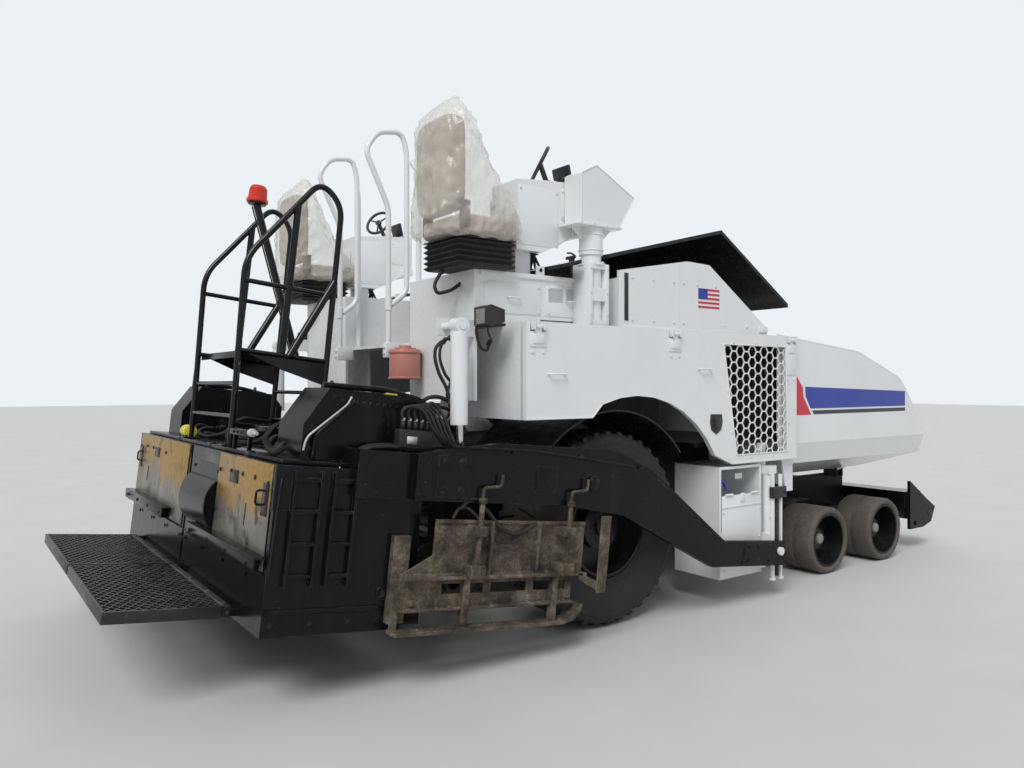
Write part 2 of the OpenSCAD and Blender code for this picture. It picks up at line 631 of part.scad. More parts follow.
place() screed_frame();
place() screed_rails();
place() beacon();
place() walkway(1);  // walkway_left
place() walkway(-1);  // walkway_right
place() extension(1);  // extension_left
place() extension(-1);  // extension_right
place() end_gate(1);  // end_gate_left
place() end_gate(-1);  // end_gate_right
place() lift_barrels();
place() lift_rods();
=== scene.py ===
import bpy
import bmesh
import math
import random
from mathutils import Matrix, Vector, noise


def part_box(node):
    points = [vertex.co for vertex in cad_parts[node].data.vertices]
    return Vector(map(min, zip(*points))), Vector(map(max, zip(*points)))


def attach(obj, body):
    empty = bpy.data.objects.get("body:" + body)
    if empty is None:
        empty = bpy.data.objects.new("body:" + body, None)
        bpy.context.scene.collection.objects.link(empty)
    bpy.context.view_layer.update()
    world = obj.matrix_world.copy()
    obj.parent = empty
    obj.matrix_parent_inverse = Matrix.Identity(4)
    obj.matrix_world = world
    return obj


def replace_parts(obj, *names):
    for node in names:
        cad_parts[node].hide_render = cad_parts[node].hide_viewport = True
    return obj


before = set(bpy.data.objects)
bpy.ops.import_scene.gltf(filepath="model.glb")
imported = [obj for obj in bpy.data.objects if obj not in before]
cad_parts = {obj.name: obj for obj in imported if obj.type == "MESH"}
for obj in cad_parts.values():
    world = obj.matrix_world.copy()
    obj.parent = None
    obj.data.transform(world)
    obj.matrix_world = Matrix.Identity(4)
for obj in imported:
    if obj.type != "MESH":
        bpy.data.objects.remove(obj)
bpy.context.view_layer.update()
print("paver frame loaded,", len(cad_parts), "nodes")

# lengthways zero of the work is the rear axle, so one shift brings it into the frame
wheelLow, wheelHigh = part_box("drive_tyre_right")
axleX, axleZ = ((wheelLow[axis] + wheelHigh[axis]) / 2 for axis in (0, 2))
sides = ((1, "Left"), (-1, "Right"))


def at(x, y, z):
    return Vector((x + axleX, y, z))


def turned(angles):
    return [math.radians(a) for a in angles]


def newObject(name, data):
    piece = bpy.data.objects.new(name, data)
    bpy.context.collection.objects.link(piece)
    return piece


cameraSet = dict(place=(-3.574, -5.237, 1.6), turn=(90, 0, -35.98), lens=27.77, sensor=36, far=200)


def setCamera():
    data = bpy.data.cameras.new("yardCamera")
    data.lens, data.sensor_width, data.clip_end = cameraSet["lens"], cameraSet["sensor"], cameraSet["far"]
    camera = newObject("yardCamera", data)
    camera.location = at(*cameraSet["place"])
    camera.rotation_euler = turned(cameraSet["turn"])
    bpy.context.scene.camera = camera


lightSet = dict(sky=(0.93, 0.96, 1, 1), skyStrength=0.56, back=(0.83, 0.88, 0.91, 1), floor=(0.58, 0.575, 0.56),
                floorHalf=60,
                lamps=(("softSun", 1.95, (42, 6, -62), 28), ("skyFill", 0.5, (55, 0, 130), 80)))


def setLight():
    bpy.context.scene.view_settings.view_transform = "Standard"
    world = bpy.data.worlds.new("overcastSky")
    bpy.context.scene.world = world
    world.use_nodes = True
    nodes, links = world.node_tree.nodes, world.node_tree.links
    nodes.clear()
    out, mix, seen, sky, path = (nodes.new("ShaderNode" + kind) for kind in (
        "OutputWorld", "MixShader", "Background", "Background", "LightPath"))
    seen.inputs["Color"].default_value = lightSet["back"]
    sky.inputs["Color"].default_value = lightSet["sky"]
    sky.inputs["Strength"].default_value = lightSet["skyStrength"]
    links.new(path.outputs["Is Camera Ray"], mix.inputs["Fac"])
    links.new(sky.outputs[0], mix.inputs[1])
    links.new(seen.outputs[0], mix.inputs[2])
    links.new(mix.outputs[0], out.inputs["Surface"])
    for name, strength, turn, angle in lightSet["lamps"]:
        lamp = bpy.data.lights.new(name, "SUN")
        lamp.energy, lamp.angle = strength, math.radians(angle)
        newObject(name, lamp).rotation_euler = turned(turn)


def setFloor():
    bm = bmesh.new()
    bmesh.ops.create_grid(bm, x_segments=1, y_segments=1, size=lightSet["floorHalf"])
    mesh = bpy.data.meshes.new("yardFloor")
    bm.to_mesh(mesh)
    bm.free()
    floor = newObject("yardFloor", mesh)
    kit = Finish("paleYard")
    tone = lightSet["floor"]
    mesh.materials.append(kit.lay(kit.ramp(kit.noise(1.4, 5, 0.55), [(0.3, [c * 0.94 for c in tone]), (0.7, tone)]),
                                  0.85))


class Finish:
    # a small workbench for one material: every helper returns a socket

    def __init__(self, name):
        self.material = bpy.data.materials.new(name)
        self.material.use_nodes = True
        self.tree = self.material.node_tree
        self.place = self.node("TexCoord", "Object")

    def feed(self, socket, item):
        # a socket is linked, a number or a colour is set
        if isinstance(item, bpy.types.NodeSocket):
            self.tree.links.new(item, socket)
        elif isinstance(item, (tuple, list)) and socket.type == "RGBA":
            socket.default_value = (*item, 1)
        else:
            socket.default_value = item

    def node(self, kind, out, items=(), **settings):
        node = self.tree.nodes.new("ShaderNode" + kind)
        for name, value in settings.items():
            setattr(node, name, value)
        for name, item in dict(items).items():
            self.feed(node.inputs[name], item)
        return node.outputs[out]

    def lay(self, colour, rough, normal=None, **others):
        # the shader's sockets, named with _ for a space
        shader = self.tree.nodes["Principled BSDF"]
        for name, item in dict(Base_Color=colour, Roughness=rough, Normal=normal, **others).items():
            if item is not None:
                self.feed(shader.inputs[name.replace("_", " ")], item)
        return self.material

    def stretched(self, scale):
        return self.node("Mapping", 0, {"Scale": scale, "Vector": self.place})

    def noise(self, scale, detail=4.0, rough=0.5, place=None, bend=0.0):
        return self.node("TexNoise", "Fac", {"Scale": scale, "Detail": detail, "Roughness": rough, "Distortion": bend,
                                             "Vector": place or self.place})

    def cells(self, scale):
        return self.node("TexVoronoi", "Distance", {"Scale": scale, "Vector": self.place})

    def grade(self, source, low, high, outLow=0.0, outHigh=1.0):
        return self.node("MapRange", "Result", {"From Min": low, "From Max": high, "To Min": outLow, "To Max": outHigh,
                                                "Value": source})

    def sum(self, kind, first, second):
        return self.node("Math", 0, {0: first, 1: second}, operation=kind)

    def times(self, first, second):
        return self.sum("MULTIPLY", first, second)

    def ramp(self, source, stops):
        colour = self.node("ValToRGB", "Color", {"Fac": source})
        marks = colour.node.color_ramp.elements
        while len(marks) < len(stops):
            marks.new(0.5)
        for mark, (spot, tone) in zip(marks, stops):
            mark.position, mark.color = spot, (*tone, 1)
        return colour

    def over(self, mask, under, top):
        return self.node("Mix", 2, {0: mask, 6: under, 7: top}, data_type="RGBA")

    def normalPart(self, part):
        return self.node("SeparateXYZ", part, {0: self.node("NewGeometry", "Normal")})

    def placePart(self, part):
        return self.node("SeparateXYZ", part, {0: self.place})

    def softEdge(self, radius):
        return self.node("Bevel", "Normal", {"Radius": radius}, samples=4)

    def edgeMask(self, radius, low, high):
        dot = self.node("VectorMath", "Value", {0: self.softEdge(radius), 1: self.node("NewGeometry", "Normal")},
                        operation="DOT_PRODUCT")
        return self.grade(dot, high, low)

    def relief(self, height, strength, depth, edge=None):
        items = {"Strength": strength, "Distance": depth, "Height": height}
        if edge:
            items["Normal"] = self.softEdge(edge)
        return self.node("Bump", "Normal", items)

    def shaded(self, mask, tone, dark):
        return self.over(mask, [c * dark for c in tone], list(tone))


def paintFinish(name, tone, gloss=0.25, dust=0.25, dustTone=(0.42, 0.38, 0.33), chips=0.0,
                chipTone=(0.16, 0.15, 0.14), edge=0.003, streaks=0.3, coat=0.3, shine=0.5):
    kit = Finish(name)
    broad, fine = kit.noise(1.1, 5, 0.6), kit.noise(17, 6, 0.62)
    streak = kit.noise(9, 5, 0.6, kit.stretched((1, 1, 0.1)))
    up = kit.grade(kit.normalPart("Z"), 0.15, 0.95, 0.12, 1.0)
    settled = kit.times(kit.times(up, kit.grade(fine, 0.36, 0.68)), kit.grade(broad, 0.25, 0.7, 0.35, 1.0))
    run = kit.times(kit.grade(streak, 0.55, 0.8), streaks)
    dirt = kit.sum("MAXIMUM", kit.times(settled, dust), kit.times(run, dust))
    colour = kit.over(dirt, kit.shaded(kit.grade(broad, 0.3, 0.7), tone, 0.94), dustTone)
    if chips:
        worn = kit.times(kit.edgeMask(0.006, 0.93, 0.995), kit.grade(fine, 0.42, 0.6))
        spots = kit.grade(kit.noise(46, 3, 0.5), 0.7, 0.76)
        colour = kit.over(kit.times(kit.sum("MAXIMUM", worn, spots), chips), colour, chipTone)
    rough = kit.sum("ADD", kit.grade(fine, 0.3, 0.7, gloss * 0.8, gloss * 1.3), kit.times(dirt, 0.5))
    return kit.lay(colour, rough, kit.relief(kit.noise(240, 2, 0.5), 0.06, 0.001, edge), Metallic=0.0,
                   Coat_Weight=coat, Coat_Roughness=0.12, Specular_IOR_Level=shine)


def rubberFinish(name, tone, dustTone, dust):
    kit = Finish(name)
    broad, fine = kit.noise(3.1, 6, 0.65), kit.noise(38, 6, 0.65)
    mask = kit.times(kit.times(kit.grade(broad, 0.3, 0.68, 0.35, 1.0), kit.grade(fine, 0.3, 0.66, 0.3, 1.0)), dust)
    height = kit.sum("ADD", fine, kit.times(kit.noise(160, 3, 0.6), 0.4))
    return kit.lay(kit.over(mask, tone, dustTone), kit.grade(mask, 0, 1, 0.55, 0.95),
                   kit.relief(height, 0.35, 0.0025, 0.006), Specular_IOR_Level=0.35)


def crustFinish(name, stops, rough=0.8, depth=0.004, metal=0.2):
    # bare steel under old asphalt, rust and dried mud
    kit = Finish(name)
    broad, pits = kit.noise(7.0, 8, 0.72, bend=0.4), kit.noise(63.0, 5, 0.7)
    both = kit.sum("ADD", kit.times(broad, 0.72), kit.times(pits, 0.28))
    both = kit.sum("ADD", both, kit.times(kit.edgeMask(0.006, 0.9, 0.99), 0.06))
    return kit.lay(kit.ramp(both, stops), kit.grade(pits, 0.3, 0.7, rough - 0.15, min(1.0, rough + 0.12)),
                   kit.relief(both, 0.6, depth, 0.004), Metallic=metal)


def brushedFinish(name, tone, rough, grain=(1, 1, 1), metal=1.0):
    kit = Finish(name)
    lines = kit.noise(60, 4, 0.6, kit.stretched(grain))
    return kit.lay(kit.shaded(kit.grade(kit.noise(5, 5, 0.6), 0.35, 0.7), tone, 0.7),
                   kit.grade(lines, 0.3, 0.7, rough * 0.7, rough * 1.4), kit.relief(lines, 0.12, 0.001,
                                                                                    0.003), Metallic=metal)


def filmFinish(name, tone, alpha):
    # thin clear plastic, milky where it folds
    kit = Finish(name)
    folds = kit.noise(7, 6, 0.7, kit.stretched((1, 1, 0.45)), 0.8)
    small = kit.noise(45, 4, 0.6, bend=1.2)
    return kit.lay(kit.ramp(folds, [(0.3, [c * 0.88 for c in tone]), (0.62, tone)]),
                   kit.grade(small, 0.3, 0.7, 0.1, 0.32),
                   kit.relief(kit.sum("ADD", folds, kit.times(small, 0.2)), 0.6, 0.01), Alpha=alpha, IOR=1.45,
                   Specular_IOR_Level=0.75, Coat_Weight=0.6, Coat_Roughness=0.08)


def clothFinish(name, tone):
    kit = Finish(name)
    colour = kit.ramp(kit.noise(8, 5, 0.6), [(0.3, [c * 0.75 for c in tone]), (0.7, tone)])
    return kit.lay(colour, 0.85, kit.relief(kit.cells(420), 0.4, 0.0012), Sheen_Weight=0.3)


def splitFinish(name, tone, split):
    # white outside, black where split(kit) says so
    kit = Finish(name)
    broad, fine = kit.noise(1.1, 5, 0.6), kit.noise(17, 6, 0.62)
    dirt = kit.times(kit.grade(kit.noise(9, 5, 0.6, kit.stretched((1, 1, 0.1))), 0.5, 0.8), 0.12)
    outer = kit.over(dirt, kit.shaded(kit.grade(broad, 0.3, 0.7), tone, 0.94), paleDust)
    inner = kit.over(kit.grade(fine, 0.45, 0.75, 0.0, 0.3), (0.012, 0.012, 0.013), (0.05, 0.047, 0.043))
    return kit.lay(kit.over(split(kit), outer, inner), kit.grade(fine, 0.3, 0.7, 0.2, 0.32),
                   kit.relief(kit.noise(240, 2, 0.5), 0.06, 0.001, 0.003), Specular_IOR_Level=0.4)


archSet = dict(reach=0.79, shelf=1.02)


def underArch(kit):
    # everything within the arch's radius about the drive axle, and below the shelf's level
    away, rise = (kit.sum("POWER", kit.sum("ADD", kit.placePart(part), -middle), 2.0)
                  for part, middle in (("X", axleX), ("Z", axleZ)))
    near = kit.grade(kit.sum("ADD", away, rise), archSet["reach"] ** 2, (archSet["reach"] + 0.002) ** 2, 1.0, 0.0)
    return kit.times(near, kit.grade(kit.placePart("Z"), archSet["shelf"], archSet["shelf"] + 0.01))


def underside(kit):
    return kit.grade(kit.normalPart("Z"), 0.35, 0.25)


def panelFinish(name):
    # bare steel panel, with a painted golden sheen in ochre over its upper half
    kit = Finish(name)
    broad = kit.noise(3.4, 6, 0.65, kit.stretched((1, 1, 0.35)))
    fine = kit.noise(30, 5, 0.6)
    level = kit.sum("ADD", kit.placePart("Z"), kit.grade(broad, 0.3, 0.7, -0.11, 0.11))
    # painted reflection: an ochre sheen over the panel's upper half, set by height with a noisy edge
    ochreSheen = kit.times(kit.grade(level, 0.93, 1.03), kit.grade(fine, 0.2, 0.6, 0.75, 1.0))
    bare = kit.ramp(broad, [(0.3, (0.13, 0.12, 0.105)), (0.55, (0.26, 0.245, 0.215)), (0.75, (0.36, 0.345, 0.31))])
    ochre = kit.ramp(fine, [(0.3, (0.33, 0.185, 0.045)), (0.7, (0.5, 0.3, 0.08))])
    smudge = kit.grade(kit.noise(5.1, 5, 0.6), 0.56, 0.66, 0.0, 0.85)
    return kit.lay(kit.over(smudge, kit.over(ochreSheen, bare, ochre), (0.03, 0.028, 0.025)),
                   kit.grade(fine, 0.3, 0.7, 0.28, 0.46), kit.relief(fine, 0.15, 0.001, 0.003), Metallic=0.55)


def plasticFinish(name, tone, rough=0.35, grain=0.25):
    kit = Finish(name)
    fine, broad = kit.noise(210, 4, 0.6), kit.noise(6, 5, 0.6)
    dusty = kit.times(kit.grade(kit.normalPart("Z"), 0.2, 1, 0.05, 0.35), kit.grade(broad, 0.4, 0.7))
    return kit.lay(kit.over(dusty, tone, (0.36, 0.33, 0.3)), kit.grade(broad, 0.3, 0.7, rough * 0.85, rough * 1.2),
                   kit.relief(fine, grain, 0.0008, 0.003))


rustStops = [(0.3, (0.012, 0.011, 0.01)), (0.44, (0.045, 0.036, 0.028)), (0.53, (0.115, 0.088, 0.062)),
             (0.62, (0.21, 0.175, 0.13)), (0.74, (0.36, 0.325, 0.27))]
oilStops = [(0.3, (0.008, 0.008, 0.008)), (0.48, (0.022, 0.02, 0.018)), (0.6, (0.07, 0.055, 0.042)),
            (0.76, (0.16, 0.13, 0.1))]
steelStops = [(0.3, (0.05, 0.045, 0.04)), (0.5, (0.16, 0.15, 0.14)), (0.7, (0.34, 0.32, 0.29))]
castStops = [(0.3, (0.08, 0.08, 0.085)), (0.7, (0.22, 0.22, 0.23))]
whiteTone, blackTone = (0.8, 0.815, 0.82), (0.0055, 0.0055, 0.007)
paleDust, wheelDust = (0.46, 0.44, 0.4), (0.12, 0.1, 0.085)


def blackFinish(name, gloss, dust, tone=blackTone, **others):
    return paintFinish(name, tone, gloss, dust, coat=0.0, **others)


bodyWhite = paintFinish("bodyWhite", whiteTone, 0.2, 0.16, streaks=0.5, dustTone=paleDust)
deckWhite = paintFinish("deckWhite", whiteTone, 0.26, 0.4, streaks=0.5, dustTone=(0.4, 0.38, 0.34))
railWhite = paintFinish("railWhite", whiteTone, 0.18, 0.12, streaks=0.2, edge=0.002)
screedBlack = blackFinish("screedBlack", 0.2, 0.06, chips=0.5, shine=0.2, chipTone=(0.1, 0.095, 0.09))
frameBlack = blackFinish("frameBlack", 0.4, 0.14, chips=0.3, shine=0.16)
armBlack = blackFinish("armBlack", 0.2, 0.05, chips=0.3, shine=0.2)
tubeBlack = blackFinish("tubeBlack", 0.17, 0.05, edge=0.002, shine=0.4)
gratingBlack = blackFinish("gratingBlack", 0.36, 0.22, (0.016, 0.016, 0.017), chips=0.6, shine=0.4)
rimBlack = blackFinish("rimBlack", 0.3, 0.2, (0.008, 0.008, 0.009), dustTone=wheelDust, shine=0.3)
hubBlack = blackFinish("hubBlack", 0.34, 0.2, (0.01, 0.01, 0.011), chips=0.3, dustTone=wheelDust, shine=0.3)
hubGrey = paintFinish("hubGrey", (0.3, 0.29, 0.27), 0.4, 0.4, chips=0.4)
bandRed = paintFinish("bandRed", (0.62, 0.02, 0.045), 0.28, 0.08, edge=0.001)
bandBlue = paintFinish("bandBlue", (0.01, 0.04, 0.36), 0.28, 0.08, edge=0.001)
bandDark = paintFinish("bandDark", (0.02, 0.02, 0.045), 0.3, 0.08, edge=0.001)
labelGrey = paintFinish("labelGrey", (0.5, 0.51, 0.52), 0.4, 0.2, edge=0.001)
valveBlue = paintFinish("valveBlue", (0.015, 0.025, 0.3), 0.3, 0.3, chips=0.3)
reelYellow = paintFinish("reelYellow", (0.7, 0.6, 0.02), 0.3, 0.15, chips=0.2)
canisterRed = paintFinish("canisterRed", (0.52, 0.2, 0.15), 0.3, 0.3, chips=0.3)
driveRubber = rubberFinish("driveRubber", (0.016, 0.016, 0.016), (0.06, 0.056, 0.051), 0.55)
solidRubber = rubberFinish("solidRubber", (0.06, 0.053, 0.047), (0.17, 0.15, 0.128), 0.8)
hoseRubber = rubberFinish("hoseRubber", (0.012, 0.012, 0.012), (0.12, 0.11, 0.1), 0.25)
gateCrust = crustFinish("gateCrust", rustStops)
oilySteel = crustFinish("oilySteel", oilStops, 0.55, 0.002)
wornSteel = crustFinish("wornSteel", steelStops, 0.5, 0.0015, 0.7)
engineCast = crustFinish("engineCast", castStops, 0.6, 0.001)
floorSteel = brushedFinish("floorSteel", (0.44, 0.42, 0.39), 0.35, (0.1, 1, 1))
brightRod = brushedFinish("brightRod", (0.72, 0.73, 0.75), 0.12)
coolerFins = brushedFinish("coolerFins", (0.03, 0.03, 0.032), 0.5, (1, 1, 0.05), 0.6)
coverFilm = filmFinish("coverFilm", (0.86, 0.82, 0.74), 0.34)
seatCloth = clothFinish("seatCloth", (0.43, 0.37, 0.29))
lampPlastic = plasticFinish("lampPlastic", (0.016, 0.016, 0.018))
lensGlass = plasticFinish("lensGlass", (0.3, 0.28, 0.25), 0.12, 0.1)
beaconRed = plasticFinish("beaconRed", (0.62, 0.035, 0.012), 0.18, 0.05)
panelSteel = panelFinish("panelSteel")
shellWhite = splitFinish("shellWhite", whiteTone, underArch)
lidWhite = splitFinish("lidWhite", whiteTone, underside)

# by the start of the node's name, the first that fits
nodeFinish = dict(
    main_frame=frameBlack, engine_block=engineCast, conveyor_floor=floorSteel, conveyor_chains=oilySteel,
    body_shell=shellWhite, deck=deckWhite, hood_walls=bodyWhite, vent_stack=railWhite, handrails=railWhite,
    push_beam=armBlack, axles=frameBlack, auger_frame=frameBlack, tow_columns=bodyWhite, lamps=lampPlastic,
    canister=canisterRed, seats=seatCloth, consoles=bodyWhite, seat_covers=coverFilm, door=bodyWhite,
    hood_lid=lidWhite, wing=bodyWhite, tow_arms=armBlack, screed_frame=screedBlack, screed_rails=tubeBlack,
    beacon=beaconRed, lift_barrels=bodyWhite, lift_rods=brightRod, drive_tyre=driveRubber, drive_rim=rimBlack,
    front_tyre=solidRubber, front_rim=rimBlack, knuckle=frameBlack, push_roller=oilySteel, auger=oilySteel,
    walkway=gratingBlack, extension=screedBlack, end_gate=gateCrust)

for name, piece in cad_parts.items():
    for holder in piece.material_slots:
        holder.material = next(m for start, m in nodeFinish.items() if name.startswith(start))
print("finishes laid on the frame")


def finishPiece(name, bm, finish, body, smooth=False, angle=35):
    # a finished mesh at the origin, riding on its body
    bmesh.ops.triangulate(bm, faces=[f for f in bm.faces if len(f.verts) > 4])
    mesh = bpy.data.meshes.new(name)
    bm.to_mesh(mesh)
    bm.free()
    piece = newObject(name, mesh)
    mesh.materials.append(finish)
    mesh.shade_smooth()
    if not smooth:
        mesh.set_sharp_from_angle(angle=math.radians(angle))
    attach(piece, body)
    return piece


def edgesOf(verts):
    return list(dict.fromkeys(e for v in verts for e in v.link_edges))


def softened(bm, edges, soft, clamp=False):
    return bmesh.ops.bevel(bm, geom=edges, offset=soft, offset_type="OFFSET", segments=2, profile=0.5,
                           affect="EDGES", clamp_overlap=clamp, material=-1)["verts"]


def addBox(bm, low, high, soft=0.0, turn=None):
    size = Vector(high) - Vector(low)
    spot = Matrix.Translation((Vector(high) + Vector(low)) / 2)
    made = bmesh.ops.create_cube(bm, size=1.0)["verts"]
    bmesh.ops.scale(bm, verts=made, vec=size)
    if soft:
        made = softened(bm, edgesOf(made), min(soft, min(size) * 0.45), True)
    bmesh.ops.transform(bm, matrix=spot @ turn if turn else spot, verts=made)
    return made


def sideBox(bm, side, x0, x1, y0, y1, z0, z1, soft=0.002):
    # y0 and y1 are measured outwards on the side
    return addBox(bm, at(x0, min(side * y0, side * y1), z0), at(x1, max(side * y0, side * y1), z1), soft)


def sideBoxes(bm, side, rows):
    for row in rows:
        sideBox(bm, side, *row)


def barBox(bm, x0, x1, y, half, z0, z1, soft=0.002):
    return addBox(bm, at(x0, y - half, z0), at(x1, y + half, z1), soft)


def mirrored(side):
    return lambda x, y, z: at(x, side * y, z)


def facing(spot, way):
    return Matrix.Translation(spot) @ way.to_track_quat("Z", "Y").to_matrix().to_4x4()


def addRod(bm, start, end, radius, sides=16, tip=None, soft=0.0):
    start, end = Vector(start), Vector(end)
    way = end - start
    made = bmesh.ops.create_cone(bm, cap_ends=True, segments=sides, radius1=radius,
                                 radius2=radius if tip is None else tip, depth=way.length)["verts"]
    if soft:
        rims = [e for e in edgesOf(made) if len(e.link_faces) == 2 and any(len(f.verts) > 4 for f in e.link_faces)]
        made = list(dict.fromkeys(softened(bm, rims, soft) + [v for v in made if v.is_valid]))
    bmesh.ops.transform(bm, matrix=facing((start + end) / 2, way), verts=made)
    return made


def upRod(bm, x, y, z0, z1, *form, **more):
    return addRod(bm, at(x, y, z0), at(x, y, z1), *form, **more)


def sideRod(bm, side, x, y0, y1, z, *form, **more):
    return addRod(bm, at(x, side * y0, z), at(x, side * y1, z), *form, **more)


def addBall(bm, middle, radius, sides=14):
    made = bmesh.ops.create_uvsphere(bm, u_segments=sides, v_segments=max(6, sides // 2), radius=radius)["verts"]
    bmesh.ops.translate(bm, verts=made, vec=Vector(middle))
    return made


def newLine(radius, sides, kind):
    line = bpy.data.curves.new("tubeLine", "CURVE")
    line.dimensions, line.use_fill_caps = "3D", True
    line.bevel_depth, line.bevel_resolution = radius, sides
    return line, line.splines.new(kind)


def mergeLine(bm, line):
    holder = bpy.data.objects.new("tubeLine", line)
    mesh = bpy.data.meshes.new_from_object(holder)
    bm.from_mesh(mesh)
    bpy.data.objects.remove(holder)
    bpy.data.meshes.remove(mesh)
    bpy.data.curves.remove(line)


def addHose(bm, points, radius, round=6, sides=3):
    # a smooth tube through the points, made as a curve and merged in
    line, spline = newLine(radius, sides, "BEZIER")
    line.resolution_u = round
    spline.bezier_points.add(len(points) - 1)
    for knot, point in zip(spline.bezier_points, points):
        knot.co = point
        knot.handle_left_type = knot.handle_right_type = "AUTO"
    mergeLine(bm, line)


def addPlate(bm, outline, nearY, farY):
    # an outline in x and z, thickened from nearY to farY
    verts = [bm.verts.new(at(x, nearY, z)) for x, z in outline]
    face = bm.faces.new(verts)
    grown = bmesh.ops.extrude_face_region(bm, geom=[face])["geom"]
    far = [v for v in grown if isinstance(v, bmesh.types.BMVert)]
    bmesh.ops.translate(bm, verts=far, vec=(0, farY - nearY, 0))
    faces = {f for v in verts + far for f in v.link_faces}
    bmesh.ops.recalc_face_normals(bm, faces=list(faces))
    return verts + far


def addBolt(bm, spot, way, radius=0.011, high=0.008):
    # hexagon head on a washer, standing out along way
    spot, way = Vector(spot), Vector(way).normalized()
    addRod(bm, spot - way * 0.002, spot + way * 0.0025, radius * 1.5, 16)
    addRod(bm, spot, spot + way * (high + 0.002), radius, 6)


# clear film bag pulled over each seat, gathered under the cushion and drawn up to a peak
coverSet = dict(
    middle=(-0.965, 1.2), around=132, up=74, crease=0.026, crinkle=0.007, hem=0.012,
    rings=[  # height, rear, front, half width, how square
        (2.462, -1.262, -0.722, 0.226, 3.0), (2.49, -1.288, -0.695, 0.25, 3.2),
        (2.54, -1.296, -0.684, 0.258, 3.4), (2.62, -1.29, -0.69, 0.256, 3.4),
        (2.69, -1.288, -0.742, 0.252, 3.2), (2.8, -1.284, -0.822, 0.25, 3.0),
        (2.94, -1.278, -0.905, 0.247, 3.0), (3.06, -1.268, -0.968, 0.243, 3.2),
        (3.13, -1.256, -0.992, 0.232, 3.0), (3.185, -1.232, -1.004, 0.196, 2.6),
        (3.235, -1.18, -1.016, 0.13, 2.2), (3.285, -1.115, -1.028, 0.064, 2.0),
        (3.322, -1.076, -1.036, 0.022, 2.0)])


def ringAt(rings, share):
    spot = share * (len(rings) - 1)
    lower = min(int(spot), len(rings) - 2)
    part = spot - lower
    part = part * part * (3 - 2 * part) * 0.5 + part * 0.5
    return [a + (b - a) * part for a, b in zip(rings[lower], rings[lower + 1])]


def makeCover(side, label):
    s = coverSet
    bm = bmesh.new()
    rows = []
    for level in range(s["up"] + 1):
        high, rear, front, half, square = ringAt(s["rings"], level / s["up"])
        row = []
        for step in range(s["around"]):
            angle = 2 * math.pi * step / s["around"]
            c, d = math.cos(angle), math.sin(angle)
            reach = (abs(c) ** square + abs(d) ** square) ** (-1 / square)
            x = (rear + front) / 2 + reach * c * (front - rear) / 2
            row.append(bm.verts.new(at(x, side * s["middle"][1] + reach * d * half, high)))
        rows.append(row)
    for lower, upper in zip(rows, rows[1:]):
        for step in range(s["around"]):
            after = (step + 1) % s["around"]
            bm.faces.new((lower[step], lower[after], upper[after], upper[step]))
    bm.faces.new(rows[-1])
    bmesh.ops.recalc_face_normals(bm, faces=bm.faces)
    bm.normal_update()
    seed = Vector((3.1 if side < 0 else 11.7, 5.3, 0))
    middle = at(s["middle"][0], side * s["middle"][1], 0)
    shift = {}
    for vert in bm.verts:
        p = vert.co - middle
        # folds fall from the shoulders and run round the lap
        long = noise.noise(Vector((p.x * 5.5 + p.z * 2.2, p.y * 5.5, p.z * 1.6)) + seed)
        slant = noise.noise(Vector((p.x * 9 - p.z * 4.5, p.y * 9 + p.z * 3, p.z * 5)) + seed * 2)
        fine = noise.noise(Vector((p.x * 26, p.y * 26, p.z * 17)) + seed)
        ridge, blade = 1 - abs(long) * 3.2, 1 - abs(slant) * 3.6
        lap = math.exp(-((vert.co.z - 2.56) / 0.09) ** 2)
        gather = math.sin(26 * math.atan2(p.y, p.x) + 5 * long) * lap
        shift[vert] = vert.normal.copy() * (
            s["crease"] * (max(ridge, -0.6) * 0.55 + max(blade, -0.5) * 0.45)
            + s["crinkle"] * (1 - abs(fine) * 4) + 0.006 * gather - 0.012)
    for vert, move in shift.items():
        vert.co += move
    low = min(v.co.z for v in rows[0])
    for vert in rows[0]:
        vert.co.z = low + s["hem"] * (0.5 + 0.5 * math.sin(vert.co.x * 40))
    cover = finishPiece("seatCover" + label, bm, coverFilm, "tractor", smooth=True)
    if side < 0:
        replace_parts(cover, "seat_covers")


for side, label in sides:
    makeCover(side, label)
print("seat covers drawn over")


def addTube(bm, points, radius, bend=0.06, sides=5, steps=6):
    # a bent tube: straight runs with every corner turned over the length bend
    spots = [Vector(p) for p in points]
    path = [spots[0]]
    for before, corner, after in zip(spots, spots[1:], spots[2:]):
        reach = min(bend, (before - corner).length * 0.49, (after - corner).length * 0.49)
        start = corner + (before - corner).normalized() * reach
        end = corner + (after - corner).normalized() * reach
        for step in range(steps + 1):
            t = step / steps
            path.append(start.lerp(corner, t).lerp(corner.lerp(end, t), t))
    path.append(spots[-1])
    line, spline = newLine(radius, sides, "POLY")
    spline.points.add(len(path) - 1)
    for knot, spot in zip(spline.points, path):
        knot.co = (*spot, 1)
    mergeLine(bm, line)


def addBow(bm, p, x0, x1, y0, y1, z, radius=0.006, bend=0.014, sides=4):
    # a grab bow on a face, in the points of p
    addTube(bm, [p(x0, y0, z), p(x0, y1, z), p(x1, y1, z), p(x1, y0, z)], radius, bend, sides)


def circle(count, start=0):
    # cosine and sine of every place in a ring
    angles = [math.radians(360 / count * step + start) for step in range(count)]
    return [(math.cos(a), math.sin(a)) for a in angles]


def spun(bm, verts, edges, middle, way, steps):
    before = set(bm.faces)
    bmesh.ops.spin(bm, geom=verts + edges, cent=middle, axis=way, dvec=(0, 0, 0), angle=2 * math.pi,
                   steps=steps, use_merge=True, use_duplicate=False)
    bmesh.ops.recalc_face_normals(bm, faces=[f for f in bm.faces if f not in before])


